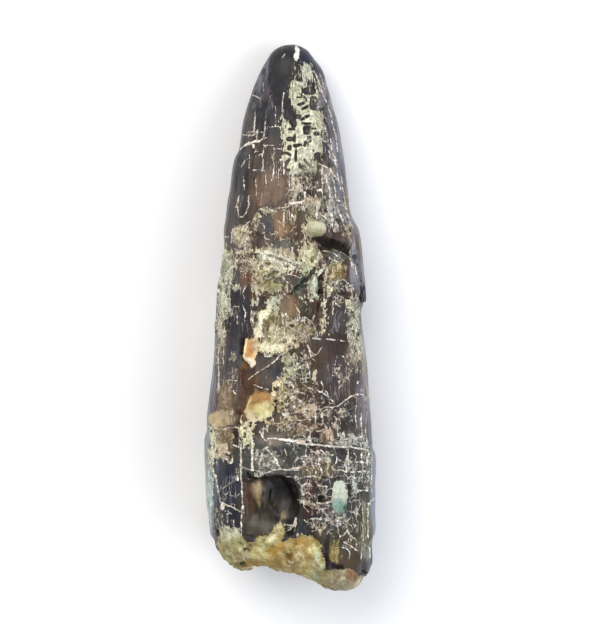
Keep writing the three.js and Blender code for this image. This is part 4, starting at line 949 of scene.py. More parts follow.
STONE_STAINS_LIGHT_AND_SHADE = [
    # broad washes
    ("#8a7f6e", 6.6, 15, 4.4, 5),
    ("#bdb092", 0, 72, 12, 12), ("#c2b193", 0, 44, 14, 12), ("#b8a98d", -13, 40, 3, 12),
    ("#b0ada0", 6, 25, 12, 9), ("#e6e5dd", 1.4, 108, 1, 2), ("#babaa7", 3.2, 103.5, 1.8, 3),
    ("#b4b499", 2, 97, 3, 4), ("#c9c8af", 3.4, 92, 2.6, 4), ("#c8c7ae", 1, 86, 3, 3),
    # painted light and shade: the round pebble is paler towards the tip (5.3, 73.4) and darker olive towards
    # the root (5.4, 71.3)
    ("#bbb197", -5.5, 75, 2.4, 2.6), ("#c2bf9e", 5.3, 73.4, 2.4, 1.6), ("#87815c", 5.4, 71.3, 2.4, 0.8),
    ("#ded0b8", -9.6, 70.4, 2.4, 3.4), ("#e1decc", -4.2, 66.9, 3.4, 0.9, -14),
    ("#cac4a6", -3.4, 64.8, 4.2, 1.6), ("#b0a780", -3.6, 61.6, 2.2, 1.6), ("#b5b9a3", 4.8, 61.6, 1, 1.6),
    ("#efecd2", -4.4, 67.6, 3, 0.7, -8), ("#dcd8c0", 0.2, 65.4, 2.2, 1, -14),
    ("#7f7a58", -3.4, 62.9, 1.8, 0.7), ("#a09a70", -3.6, 61, 1.6, 0.8), ("#bcb892", 3.8, 67, 1.4, 3),
    ("#d0ccac", 2.9, 66.4, 0.4, 1.8), ("#b9bfa8", 4.6, 61.4, 0.8, 1.8), ("#b9bd97", 2.9, 63.9, 0.9, 0.9),
    ("#c5ccc0", 6, 63.8, 0.6, 1), ("#c9bda0", 7, 61.5, 0.5, 4.5), ("#b5a276", 9.4, 64.2, 1.8, 1.8),
    ("#d8cfb2", 8, 60.3, 1, 1), ("#c5b49f", -7.8, 63.8, 0.8, 2.8), ("#c5c7b2", -12.8, 60.5, 1.6, 6),
    ("#9a9f87", -12.9, 65, 0.7, 1.3), ("#c9c8ab", -12.9, 67.4, 0.8, 1), ("#d3d5be", -13.3, 58.6, 1.1, 2),
    ("#e0dcc8", -11.9, 63.8, 0.35, 3.2, -26), ("#d5c8b4", -9, 67.9, 1.6, 0.4),
    ("#cfc8b6", -13.6, 53, 1.2, 3.4), ("#d6d0ad", -4.6, 54.4, 2.2, 3.2), ("#a89d74", -3.2, 54, 1.4, 2),
    ("#cdc6a8", -2.6, 51.8, 3, 2.4), ("#b0b498", -2.8, 58, 1.3, 2.4), ("#cdcbb4", 12.8, 53.4, 1.6, 6.4),
    ("#cfc4b0", 2.5, 80, 4, 3.4), ("#c3bdb2", 8.6, 77, 2.2, 6), ("#c6b49a", 4.9, 43.4, 0.8, 2),
    ("#c4c3a6", 0, 45.4, 2, 3.4), ("#cbbf94", -1.9, 39.8, 1.7, 3.4), ("#a98f78", 3.8, 39, 2.2, 2.8),
    ("#c2ac90", 3, 36.4, 3.6, 1.8), ("#b0988a", 6.4, 33.6, 1.6, 3), ("#b7b5aa", 12.5, 30.6, 3, 1.4),
    ("#c6b096", 7.8, 31.6, 1.4, 1.8), ("#a9aea2", 12.4, 25.6, 5, 3), ("#c2c6ba", 12.6, 30.6, 3.2, 1.4),
    # painted sheen: the pale bluish-green oval at -16.2 along the left rim
    ("#c2cfc8", -16.2, 19, 1.2, 11), ("#9d8872", 2, 33, 4, 1.6), ("#a39a80", 3, 52.8, 3, 2),
    ("#a39584", 5.6, 17.5, 4, 6), ("#c0ad86", 6, 24.6, 3.2, 1.6), ("#ccd2bb", 9.7, 21.4, 1.6, 1.9),
    ("#b6c2aa", 9.9, 19.4, 1.6, 1.2), ("#c3c8b3", 10.4, 20.8, 0.5, 1.6), ("#6f9280", 9.8, 17.4, 1.5, 1.2),
    ("#8fa498", 9.2, 18, 0.4, 1), ("#4f6a60", 10, 16.1, 1.3, 0.5), ("#44554e", 10.9, 17, 0.5, 0.9),
    ("#a7aca6", 12.8, 21.6, 0.7, 2),
    # the lifted flake, the ochre window and the tan patches on the left
    ("#d3ab76", -7.6, 48.2, 2, 3.2), ("#f3e2b4", -8.7, 48.3, 0.7, 2.4, -4),
    ("#c98a48", -7.3, 49, 0.6, 1.6, -6), ("#8a5a2c", -6.7, 49.4, 0.28, 1.4, -6),
    ("#f7efd4", -7.6, 46.1, 0.8, 0.8), ("#ead3a0", -6.4, 47.4, 0.3, 0.9), ("#a9804c", -6, 38.6, 2.8, 2.4),
    ("#8a5f34", -7, 40, 1.2, 0.5, 10), ("#c29a62", -5.2, 39.4, 0.9, 0.5),
    ("#cbb180", -8.6, 37.2, 0.6, 2.4, -15), ("#99763e", -7.3, 37.6, 0.7, 1.3, -20),
    ("#cfc389", -5.6, 36.5, 2.3, 1.3, 10), ("#ddd6a2", -5, 37.6, 1, 0.5, 20),
    ("#7d6440", -6.8, 38.1, 1, 0.22, 25), ("#b0ab78", -6.8, 35.8, 0.9, 0.6), ("#ece6b8", -5, 35.8, 1, 0.5),
    ("#a39a62", -4.3, 36.8, 0.5, 0.4), ("#d8cda4", -6.6, 34.6, 2.8, 0.7),
    ("#b9a47e", -13.9, 34.6, 2.6, 2.2), ("#a08c6a", -12.6, 34.2, 0.5, 1.6),
    ("#c8b48c", -14.4, 34, 0.7, 0.9), ("#ab9480", -14, 36.2, 2.4, 0.6), ("#8f7a5a", -13.4, 32.9, 1.8, 0.25),
    ("#9c8768", -12.6, 31.2, 0.9, 1.8), ("#d2ccb0", -14.9, 29.6, 1.1, 3.4),
    ("#c9b49a", -12.9, 28.4, 0.9, 1.4), ("#a8927a", -12.8, 38.2, 1.7, 2.6), ("#d6ceaa", -8.4, 32, 1.6, 2.6),
    ("#ddd3ac", -4.2, 49.4, 2.4, 1.6), ("#e2dab4", -5.6, 54.6, 0.9, 2.4, -20),
    ("#8d8055", -4.3, 53.4, 0.5, 1.8, -12), ("#a69a74", -2.5, 54.2, 0.5, 1.4),
    ("#e6e1c0", -5.6, 54.6, 0.7, 3.4, -16), ("#e8dfbe", -6.6, 51.8, 0.7, 1.2, -25),
    ("#d9d8bd", -4.2, 57.4, 0.6, 1.2), ("#ece5c0", -3.6, 49, 2.4, 0.9), ("#d8caa4", -2.6, 40.6, 1.4, 2.2),
    # the fill in the root
    ("#a3935c", 0, 7, 15, 6.5), ("#b5a77f", -9.8, 8.2, 1.8, 2), ("#c9bf9f", -9.4, 9.6, 0.9, 0.5),
    ("#a39e6e", -11.4, 8.6, 3, 3.8), ("#d3d4ba", -12.3, 11.8, 1.8, 1.2), ("#95956a", -12.6, 9.3, 0.8, 0.7),
    ("#9a9c66", -5.6, 10, 1.2, 0.9), ("#a0813a", -3.8, 8.2, 1.1, 1.4), ("#e6e2b6", -3.6, 11.2, 1.2, 0.9),
    ("#cfc894", -2.4, 12.8, 1, 1.2), ("#b08c48", -2, 9.4, 1.2, 1), ("#5f4118", -0.2, 7.6, 0.9, 0.9),
    ("#7a5c28", 0.2, 6.6, 0.7, 0.6), ("#b89a66", -1.2, 6.2, 0.9, 0.7), ("#a98644", 2.2, 10, 1.6, 1.1),
    ("#c9a768", 3.8, 10.9, 1, 0.5), ("#978a6c", 0, 5, 1.6, 0.6), ("#5a4a30", 0.7, 4.7, 0.4, 0.4),
    ("#a8935f", 2.6, 6.8, 2.2, 1.5), ("#dbd192", 4.7, 9, 0.9, 0.8), ("#b9bb92", 5.6, 7.8, 0.8, 1.2),
    ("#a3a37c", 5.6, 5.4, 1.2, 1.4), ("#e0daa2", -6.4, 8.8, 1.6, 0.35, -36), ("#cdc487", -7, 7.6, 1.2, 0.9),
    ("#d9d294", -4.9, 7.2, 0.9, 0.3, -52), ("#8b8468", 9.6, 3, 3.8, 2), ("#8a6a50", 12.4, 3.6, 1.8, 1.2),
    # painted shade: the dark ovals at -10.8 here and at -9.2 and -8.9 on the next line lie in recesses of the
    # fill
    ("#57513c", 9.2, 0.7, 2.6, 0.8), ("#5a3a26", 13.6, 3.2, 0.9, 0.7), ("#5a4c30", -10.8, 5, 1.8, 0.45),
    ("#33281a", -9.2, 5.6, 0.6, 0.6), ("#3a3020", -8.9, 9, 0.6, 0.4), ("#b59c88", -8.8, 7, 0.9, 0.8),
    ("#8f7a46", -2.8, 5.8, 1.8, 1.4), ("#75592c", 0.4, 6.2, 1.4, 1), ("#8f8d6c", 7.4, 3, 1.2, 1.2),
    ("#858c70", 5, 3.2, 1, 0.9), ("#8a7434", -7, 5.4, 2, 1.2),
]


WIDER, LONGER = 1.15, 1.08  # a stain is drawn this much larger, because its soft rim hides some of it
RIM_SHARE, THINNEST_RIM, WIDEST_RIM = 0.6, 0.3, 1.2  # share of its half width, and mm


def glaze(base, rows, x, s):
    """Linear colour of each point after every oval, stains and painted light and shade alike, has been laid
    over the base.
    """
    colours = np.tile(linear(base), (len(points), 1))
    for hex_colour, offset, station, half_width, half_length, *turn in rows:
        oval = (offset, station, half_width * WIDER, half_length * LONGER, *turn)
        softness = min(max(RIM_SHARE * half_width, THINNEST_RIM), WIDEST_RIM)
        share = smoothstep(ovals([oval], x=x, s=s), -softness / 2, softness)[:, None]
        colours = colours * (1 - share) + np.array(linear(hex_colour)) * share
    return colours


# the plain sides are darker, in long streaks
SIDE_STAIN, SIDE_SHARE = "#45434b", 0.75
side_share = (SIDE_SHARE * side * (0.6 + rough((0.4, 5, 43), at=streaked)))[:, None]
enamel_colours = glaze(ENAMEL_BASE, ENAMEL_STAINS_SHADE_AND_SHEEN, stain_x, stain_s)
enamel_colours = enamel_colours * (1 - side_share) + np.array(linear(SIDE_STAIN)) * side_share
stone_x, stone_s = patch_x + rough((0.4, 0.7, 41)), patch_s + rough((0.5, 0.7, 42))
stone_colours = glaze(STONE_BASE, STONE_STAINS_LIGHT_AND_SHADE, stone_x, stone_s)

for name, colours in {"enamel_stain_shade_and_sheen": enamel_colours, "stone_stain_light_and_shade": stone_colours}.items():
    layer = tooth.data.attributes.new(name, "FLOAT_COLOR", "POINT")
    layer.data.foreach_set("color", colours.astype(np.float32).ravel())
print("stains on enamel:", len(ENAMEL_STAINS_SHADE_AND_SHEEN), "and on stone:", len(STONE_STAINS_LIGHT_AND_SHADE))

# %% Keep the wrapped coordinates at the faces' corners
# a face that crosses the line where the angle jumps, under the tooth, gets its corners on one side of it
WRAP_RADIUS = 15.0  # mm
# the third coordinate is the way in from the rim: the other two hardly change on the broken end
INWARDS = 6.0  # mm
BROKEN_END = (6, 12)  # stations between which the third coordinate fades out
mesh_data = tooth.data
corner_points = np.empty(len(mesh_data.loops), np.int32)
mesh_data.loops.foreach_get("vertex_index", corner_points)
face_starts = np.empty(len(mesh_data.polygons), np.int32)
mesh_data.polygons.foreach_get("loop_start", face_starts)
corner_angles = angles[corner_points]
face_sizes = np.diff(np.append(face_starts, len(corner_points)))
spread = np.maximum.reduceat(corner_angles, face_starts) - np.minimum.reduceat(corner_angles, face_starts)
crosses = np.repeat(spread > math.pi, face_sizes)
corner_angles = corner_angles + 2 * math.pi * (crosses & (corner_angles < 0))
inwards = INWARDS * (np.hypot(section_x, section_z) - 1) * (1 - smoothstep(stations, *BROKEN_END))
wrap = np.stack([WRAP_RADIUS * corner_angles, stations[corner_points], inwards[corner_points]], 1)
layer = mesh_data.attributes.new("wrap", "FLOAT_VECTOR", "CORNER")
layer.data.foreach_set("vector", wrap.astype(np.float32).ravel())
print("faces across the jump:", int((spread > math.pi).sum()))

# %% [markdown]
# ## The material: a fossil tooth
#
# The whole tooth is one stone, mostly calcium phosphate, with four finishes. *Enamel* was polished by
# burial and is dark and glossy. *Calcite* fills its cracks and is off-white and satin. *Crust* is pale
# sandstone, matt and sharp-edged where it chipped. *Fill* is ochre sandstone, matt and grainy. One node tree
# makes all four and lays them over each other by the fields kept on the mesh. Most of its patterns are set
# out in millimetres round the tooth and along it, so they follow the surface. The grain of the sandstone is
# set out in plain millimetres, because it goes right through the stone.


# %% Start the material, with one helper for its nodes
material = bpy.data.materials.new("fossil_enamel_and_sandstone")
material.use_nodes = True
tree = material.node_tree
tree.nodes.clear()


def node(kind, inputs=(), out=0, **settings):
    """Adds a node, sets it up, fills or links its inputs by name or in order, and returns an output.

    In order, a MapRange takes its value, the range to read and the range to write, else 0 to 1.
    """
    added = tree.nodes.new("ShaderNode" + kind)
    for key, value in settings.items():
        setattr(added, key, value)
    for key, value in inputs.items() if isinstance(inputs, dict) else enumerate(inputs):
        if isinstance(value, bpy.types.NodeSocket):
            tree.links.new(value, added.inputs[key])
        else:
            added.inputs[key].default_value = value
    return added.outputs[out] if added.outputs else added


# sockets of a Mix node for colours: its factor, its two colours and its result
FACTOR, UNDER, OVER, RESULT = 0, 6, 7, 2
# settings that come back often
LAY = {"out": RESULT, "data_type": "RGBA"}
TINT = {**LAY, "blend_type": "MULTIPLY"}
SMOOTH_STEP = {"interpolation_type": "SMOOTHSTEP"}

field = {
    name: node("Attribute", attribute_name=name, out="Fac")
    for name in ("crust", "window", "smooth", "calcite", "gap", "fill", "blocks", "mesh", "hairlines", "dust")
}
enamel_stain_shade_and_sheen, stone_stain_light_and_shade = (
    node("Attribute", attribute_name=name, out="Color") for name in ("enamel_stain_shade_and_sheen", "stone_stain_light_and_shade")
)

# %% Three sets of coordinates, in mm
# wrapped round the tooth
place = node("Attribute", attribute_name="wrap", out="Vector")
# the same, made unsteady, because no crack is straight
WOBBLE_SIZE, WOBBLE = 2.2, 0.7  # mm
wobble = node("TexNoise", {"Vector": place, "Scale": 1 / WOBBLE_SIZE, "Detail": 3.0}, out="Color")
wobble = node("VectorMath", (wobble, (0.5, 0.5, 0.5)), operation="SUBTRACT")
wobble = node("VectorMath", {0: wobble, "Scale": WOBBLE}, operation="SCALE")
unsteady = node("VectorMath", (place, wobble), operation="ADD")
# through the solid stone
solid = node("TexCoord", out="Object")
solid = node("VectorMath", {0: solid, "Scale": 1 / MM}, operation="SCALE")

# %% Noises
# name: coordinates, size of its lumps in mm (across, along, in), detail, roughness
NOISES = {
    "patches": (place, (3.2, 3.2, 3.2), 3.0, 0.5),
    "fine": (place, (0.5, 0.5, 0.5), 4.0, 0.5),
    "streaks": (place, (0.75, 9.0, 1.0), 4.0, 0.5),
    "curls": (unsteady, (1.0, 1.5, 1.0), 1.5, 0.5),
    "upright flecks": (unsteady, (0.32, 1.3, 1.0), 1.0, 0.5),
    "level flecks": (unsteady, (1.2, 0.3, 1.0), 1.0, 0.5),
    "fading": (unsteady, (0.9, 0.9, 0.9), 3.0, 0.5),
    "fray": (unsteady, (0.4, 1.5, 1.0), 3.0, 0.5),
    "dust": (unsteady, (0.62, 1.15, 1.0), 5.0, 0.6),
    "lumps": (unsteady, (1.3, 1.3, 1.3), 3.0, 0.5),
    # a little coarser than the real 0.25 mm, which would not show
    "grains": (solid, (0.42, 0.42, 0.42), 2.0, 0.5),
    "sand": (solid, (0.6, 0.6, 0.6), 5.0, 0.6),
    "fill": (solid, (1.6, 1.6, 1.6), 5.0, 0.6),
}
noises = {}
for name, (coordinates, size, detail, rough_share) in NOISES.items():
    grid = node("VectorMath", (coordinates, size), operation="DIVIDE")
    shape = {"Scale": 1.0, "Detail": detail, "Roughness": rough_share}
    noises[name] = node("TexNoise", {"Vector": grid, **shape})
ragged, frayed, contour = (
    node("Math", (noises[name], 0.5), operation="SUBTRACT") for name in ("fine", "fray", "curls")
)
print("noises:", len(noises))

# %% [markdown]
# ## Crazed enamel
#
# Cracked enamel breaks into blocks whose sides run along and across the tooth. A Voronoi texture measured
# with the Chebychev rule makes such square cells. The difference between its second and its first distance
# is nothing on a joint and grows away from it, so a joint is where that difference is small. Where the enamel
# is crushed, it breaks into a mesh of small pieces, and the calcite also runs in curls, which are the contour
# lines of a noise texture. Hairlines are the edges of very long cells.

# %% Joints between blocks
# Each line below is kept as "mm inside the line", which is negative outside, so the largest value wins.
BLOCK_WIDTH, BLOCK_LENGTH = 1.25, 1.8  # mm
BLOCK_JOINT = 0.045  # mm
UNEVENNESS = 0.9  # of the blocks, from a plain grid at 0 to any shape at 1
cells = node("VectorMath", (unsteady, (BLOCK_WIDTH, BLOCK_LENGTH, 1)), operation="DIVIDE")
nearest, second = (
    node(
        "TexVoronoi",
        {"Vector": cells, "Scale": 1.0, "Randomness": UNEVENNESS},
        voronoi_dimensions="2D",
        distance="CHEBYCHEV",
        feature=feature,
    )
    for feature in ("F1", "F2")
)
block_tone = nearest.node.outputs["Color"]
from_joint = node("Math", (second, nearest), operation="SUBTRACT")
# where lines are present at all: a line that is absent lies this far outside, so that it casts no shade
ABSENT = 0.4  # mm
PATCHINESS = 1.6  # how much a noise adds to a map's strength
PRESENT = (1.15, 1.55)  # the sums between which lines come in
presence = {}
for name in ("blocks", "mesh", "hairlines"):
    level = node("Math", (noises["patches"], PATCHINESS, field[name]), operation="MULTIPLY_ADD")
    presence[name] = node("MapRange", (level, *PRESENT), **SMOOTH_STEP)
joint = node("Math", (presence["blocks"], BLOCK_JOINT + ABSENT, -ABSENT), operation="MULTIPLY_ADD")
raw_joint, joint = (
    node("Math", (from_joint, -BLOCK_WIDTH / 2, inside), operation="MULTIPLY_ADD")
    for inside in (BLOCK_JOINT, joint)
)

# %% Pieces and curls where the enamel is crushed, and hairlines along the tooth
# width and length of a cell of the texture, and half the width of the lines between cells, all in mm
WEBS = {"mesh": (0.8, 1.0, 0.05), "hairlines": (0.8, 9.0, 0.06)}
LINE_WEAR = 0.3  # mm, how much the lines thin out from place to place
web_kind = {"voronoi_dimensions": "2D", "feature": "DISTANCE_TO_EDGE"}
webs = {}
for name, (width, length, half_line) in WEBS.items():
    grid = node("VectorMath", (unsteady, (width, length, 1)), operation="DIVIDE")
    web = node("TexVoronoi", {"Vector": grid, "Scale": 1.0}, **web_kind)
    line = node("Math", (noises["fine"], LINE_WEAR, -LINE_WEAR / 2 - ABSENT), operation="MULTIPLY_ADD")
    line = node("Math", (presence[name], half_line + ABSENT, line), operation="MULTIPLY_ADD")
    webs[name] = node("Math", (web, -width, line), operation="MULTIPLY_ADD")
CURL_LINE = 0.04  # mm
CURL_STEEPNESS = 2.1  # mm of distance for each unit of noise
contour = node("Math", (contour,), operation="ABSOLUTE")
raw_curl = node("Math", (contour, -CURL_STEEPNESS, CURL_LINE), operation="MULTIPLY_ADD")
curl = node("Math", (presence["mesh"], ABSENT, -ABSENT), operation="MULTIPLY_ADD")
curl = node("Math", (raw_curl, curl), operation="ADD")
lines, hairline = [joint, webs["mesh"], curl], webs["hairlines"]

# %% Flecks of calcite: short dashes along and across
FLECK_STEEPNESS = 0.6  # mm of distance for each unit of noise
FEWEST_FLECKS, MORE_FLECKS = 0.9, 0.28  # the noise that makes a fleck, and how much less will do in full mesh
threshold = node("Math", (field["mesh"], -MORE_FLECKS, FEWEST_FLECKS), operation="MULTIPLY_ADD")
for name in ("upright flecks", "level flecks"):
    fleck = node("Math", (noises[name], threshold), operation="SUBTRACT")
    lines.append(node("Math", (fleck, FLECK_STEEPNESS), operation="MULTIPLY"))

# %% Drawn cracks, broken up a little, join the pattern
BROKEN_UP = 0.5  # mm
NEAR = 0.35  # mm: further out than this a step can point to two strokes at once, so it isn't used
LINE_EDGE = 0.04  # mm, how soft the edge of a line is
SHADE_REACH, SHADE = (-0.35, -0.03), 0.6  # mm inside a line, where its shade begins and ends, and its tone
HAIRLINE_SHARE = 0.42
BROAD, ON_STROKE = (0.13, 0.2), (-0.1, 0.0)  # mm, half widths of strokes and mm inside one
way = node("Attribute", attribute_name="calcite_way", out="Vector")
half_width = node("SeparateXYZ", (way,), out="Z")
flat_way = node("VectorMath", (way, (1, 1, 0)), operation="MULTIPLY")
step_length = node("VectorMath", (flat_way,), out="Value", operation="LENGTH")
drawn = node("Math", (half_width, step_length), operation="SUBTRACT")
near = node("Math", (field["calcite"], NEAR), operation="ADD")
drawn = node("Math", (drawn, near), operation="MINIMUM")
inside_line = node("Math", (ragged, BROKEN_UP, drawn), operation="MULTIPLY_ADD")
for line in lines:
    inside_line = node("Math", (inside_line, line), operation="MAXIMUM")
calcite_mask = node("MapRange", (inside_line, -LINE_EDGE, LINE_EDGE), **SMOOTH_STEP)
joint_shade = node("MapRange", (inside_line, *SHADE_REACH, 1.0, SHADE), **SMOOTH_STEP)
hairline_share = node("MapRange", (hairline, -LINE_EDGE, LINE_EDGE, 0.0, HAIRLINE_SHARE), **SMOOTH_STEP)
# lines fade here and there, apart from the broad strokes
fading = node("MapRange", (noises["fading"], 0.38, 0.6, 0.2, 1.0))
broad = node("MapRange", (half_width, *BROAD))
on_stroke = node("MapRange", (drawn, *ON_STROKE))
broad = node("Math", (broad, on_stroke), operation="MULTIPLY")
fading = node("Math", (fading, broad), operation="MAXIMUM")
calcite_share = node("Math", (calcite_mask, fading), operation="MULTIPLY")

# %% [markdown]
# ## Chipped edges of crust and fill
#
# Crust and fill end in small steps, where chips broke off along the grid of cracks. Each chip is a cell of a
# fine Voronoi texture, and moves the edge in or out by a random part of a millimetre.

# %% Masks of crust, fill and gaps
CHIP, CHIP_REACH = 0.75, 0.8  # mm
GRAIN_REACH = 0.4  # mm
FRAY = 2.6  # mm, how far the crust is frayed into splinters that run along the tooth
EDGE = 0.06  # mm, how soft the edge of a mask is
chips = node(
    "TexVoronoi",
    {"Vector": unsteady, "Scale": 1 / CHIP},
    out="Color",
    distance="CHEBYCHEV",
    voronoi_dimensions="2D",
)
chip_shift = node("SeparateColor", (chips,))
chip_shift = node("Math", (chip_shift, 0.5), operation="SUBTRACT")
chip_shift = node("Math", (chip_shift, CHIP_REACH), operation="MULTIPLY")
grain_shift = node("Math", (ragged, GRAIN_REACH, chip_shift), operation="MULTIPLY_ADD")
crust_shift = node("Math", (frayed, FRAY, grain_shift), operation="MULTIPLY_ADD")

masks, edges = {}, {}
for name, shift, reach in (
    ("crust", crust_shift, 1.0),
    ("smooth", ragged, 0.6),
    ("fill", ragged, 1.2),
    ("gap", grain_shift, 0.5),
):
    edges[name] = node("Math", (shift, reach, field[name]), operation="MULTIPLY_ADD")
    masks[name] = node("MapRange", (edges[name], -EDGE, EDGE), **SMOOTH_STEP)

WINDOW_EDGE = 0.12  # mm, how ragged the windows' edges are
window_edge = node("Math", (ragged, WINDOW_EDGE, field["window"]), operation="MULTIPLY_ADD")
no_window = node("MapRange", (window_edge, 0.05, -0.05))
masks["crust"] = node("Math", (masks["crust"], no_window), operation="MULTIPLY")

# %% Where the crust's broken rim catches the light, and the shade beside it
RIM, RIM_SHADE = 0.4, 0.35  # mm, how wide the light rim is and how wide the shade
RIM_LIGHTEST, RIM_DARKEST = 1.35, 0.5
window_rim = node("Math", (window_edge, -1.0), operation="MULTIPLY")
crust_rim = node("Math", (edges["crust"], window_rim), operation="MINIMUM")
rim_light = node("MapRange", (crust_rim, 0.0, RIM, RIM_LIGHTEST, 1.0))
rim_shade = node("MapRange", (crust_rim, -RIM_SHADE, -0.03, 1.0, RIM_DARKEST), **SMOOTH_STEP)

# %% Mask of dust, which is patchy where it is weak
PATCHY, DUSTY = 1.2, 2.6  # how much two noises add to the map of dust
DUST_COVERS, CRUMBS_SHOW = (2.42, 2.68), (1.9, 2.4)  # the sums between which each comes in
THICKEST_DUST, CRUMB_HOLLOW_SHADE = 0.92, 0.62
dust_level = node("Math", (noises["patches"], PATCHY, field["dust"]), operation="MULTIPLY_ADD")
dust_level = node("Math", (noises["dust"], DUSTY, dust_level), operation="MULTIPLY_ADD")
dust_share = node("MapRange", (dust_level, *DUST_COVERS, 0.0, THICKEST_DUST))
# painted shade: the hollows between the crumbs are painted darker
crumb_shade = node("MapRange", (dust_level, *CRUMBS_SHOW, CRUMB_HOLLOW_SHADE, 1.0))
crumb_shade = node("Mix", {FACTOR: field["dust"], UNDER: (1, 1, 1, 1), OVER: crumb_shade}, **LAY)

# %% [markdown]
# ## Colours of the four finishes
#
# The stain attributes give each finish its colour from place to place, painted shade and sheen included.
# Noise then makes it lively: enamel has dark streaks along the tooth, and its blocks differ in tone, because
# each took up a little more or less metal. Sandstone is speckled by its grains.

# %% Enamel
TONES = (0.25, 0.75)  # the range of a noise that is spread over a range of tones, to multiply a colour by
HAIRLINE = "#b4adac"
enamel = node("Mix", {FACTOR: hairline_share, UNDER: enamel_stain_shade_and_sheen, OVER: linear(HAIRLINE)}, **LAY)
enamel = node("HueSaturation", {"Color": enamel, "Saturation": 1.2, "Value": 0.8})
for value, darkest, lightest, factor in (
    (noises["streaks"], 0.62, 1.4, 1.0),
    (noises["patches"], 0.8, 1.2, 1.0),
    (noises["fine"], 0.6, 1.35, field["mesh"]),
    (block_tone, 0.65, 1.25, field["blocks"]),
):
    tone = node("MapRange", (value, *TONES, darkest, lightest))
    enamel = node("Mix", {FACTOR: factor, UNDER: enamel, OVER: tone}, **TINT)
enamel = node("Mix", {FACTOR: 1.0, UNDER: enamel, OVER: crumb_shade}, **TINT)

# %% Calcite in the cracks, a little brown where it is old
CALCITE_PALE, CALCITE_DULL = "#fdf9ec", "#bba68c"
GROUND_THIN, GROUND_WIDE = 0.55, 0.12  # how much of the ground's colour a thin and a wide line take on
age = node("MapRange", (noises["lumps"], 0.38, 0.62))
calcite = node("Mix", {FACTOR: age, UNDER: linear(CALCITE_PALE), OVER: linear(CALCITE_DULL)}, **LAY)
ground = node("MapRange", (drawn, -0.15, 0.02, GROUND_THIN, GROUND_WIDE))
calcite = node("Mix", {FACTOR: ground, UNDER: calcite, OVER: stone_stain_light_and_shade}, **LAY)
tone = node("MapRange", (noises["fine"], *TONES, 0.8, 1.3))
calcite = node("Mix", {FACTOR: 1.0, UNDER: calcite, OVER: tone}, **TINT)

# %% Sandstone of the crust and the fill, speckled with grains
FILL_DEEP, FILL_PALE, CELL, CRACK_DARK, IRON = "#7d5f2c", "#efe8c0", "#b3a88c", "#4d4a3c", "#5c3d14"
FILL_SHARE = 0.5  # how much the fill's deep, pale and iron-brown parts differ from the rest
deep = node("MapRange", (noises["fill"], 0.52, 0.38, 0.0, FILL_SHARE))
pale = node("MapRange", (noises["fill"], 0.55, 0.7, 0.0, FILL_SHARE))
iron = node("MapRange", (noises["lumps"], 0.56, 0.66, 0.0, FILL_SHARE), **SMOOTH_STEP)
deep, pale, iron = (
    node("Math", (share, masks["fill"]), operation="MULTIPLY") for share in (deep, pale, iron)
)
even = node("Math", (masks["fill"], masks["smooth"]), operation="MAXIMUM")
speckle = node("MapRange", (even, 0.0, 1.0, 1.0, 0.45))
grain_tone, lump_tone, sand_tone = (
    node("MapRange", (noises[name], *TONES, darkest, lightest))
    for name, darkest, lightest in (("grains", 0.68, 1.34), ("lumps", 0.64, 1.36), ("sand", 0.68, 1.36))
)
# thin crust and dust follow the crazed enamel below them: pale ridges over its joints, olive cells between
most_crazed = node("Math", (field["mesh"], field["blocks"]), operation="MAXIMUM")
not_even = node("Math", (1.0, even), operation="SUBTRACT")
between = node("Math", (raw_joint, raw_curl), operation="MAXIMUM")
between = node("MapRange", (between, -0.18, 0.02, 1.5, 0.0))
between = node("Math", (between, most_crazed), operation="MULTIPLY", use_clamp=True)
between = node("Math", (between, not_even), operation="MULTIPLY")
crack = node("MapRange", (from_joint, 0.02, 0.1, 0.65, 0.0))
crack = node("Math", (crack, masks["crust"]), operation="MULTIPLY")
stone = stone_stain_light_and_shade
for factor, over, how in (
    (deep, linear(FILL_DEEP), LAY),
    (pale, linear(FILL_PALE), LAY),
    (speckle, grain_tone, TINT),
    (speckle, lump_tone, TINT),
    (speckle, sand_tone, TINT),
    (masks["crust"], rim_light, TINT),
    (between, linear(CELL), TINT),
    (crack, linear(CRACK_DARK), LAY),
    (iron, linear(IRON), LAY),
):
    stone = node("Mix", {FACTOR: factor, UNDER: stone, OVER: over}, **how)

# %% Lay the finishes over each other
# painted shade: the gaps get a near-black colour over the other finishes
GAP_SHADE_COLOUR, GAP_SHADE_SHARE = "#1c1815", 0.72
sandstone_mask = node("Math", (masks["crust"], even), operation="MAXIMUM")
gap_shade_share = node("Math", (masks["gap"], GAP_SHADE_SHARE), operation="MULTIPLY")
colour = enamel
for factor, over, how in (
    (dust_share, stone, LAY),
    (1.0, joint_shade, TINT),
    (1.0, rim_shade, TINT),
    (calcite_share, calcite, LAY),
    (sandstone_mask, stone, LAY),
    (gap_shade_share, linear(GAP_SHADE_COLOUR), LAY),
):
    colour = node("Mix", {FACTOR: factor, UNDER: colour, OVER: over}, **how)

# %% [markdown]
# ## Gloss and fine relief
#
# Fossil enamel is glossy but finely scratched, so its roughness is about a third. Calcite is satin and
# sandstone is matt. The relief that is too fine for the mesh is bump: scratches in the enamel, calcite that
# stands proud of it, chipped steps at the crust's edge, and grains of sand.

# %% Roughness
ENAMEL_ROUGHNESS, CALCITE_ROUGHNESS, STONE_ROUGHNESS = 0.34, 0.55, 0.88
roughness = ENAMEL_ROUGHNESS
for factor, over in (
    (calcite_mask, CALCITE_ROUGHNESS),
    (dust_share, STONE_ROUGHNESS),
    (sandstone_mask, STONE_ROUGHNESS),
    (masks["gap"], STONE_ROUGHNESS),
):
    roughness = node("Mix", {0: factor, 2: roughness, 3: over})

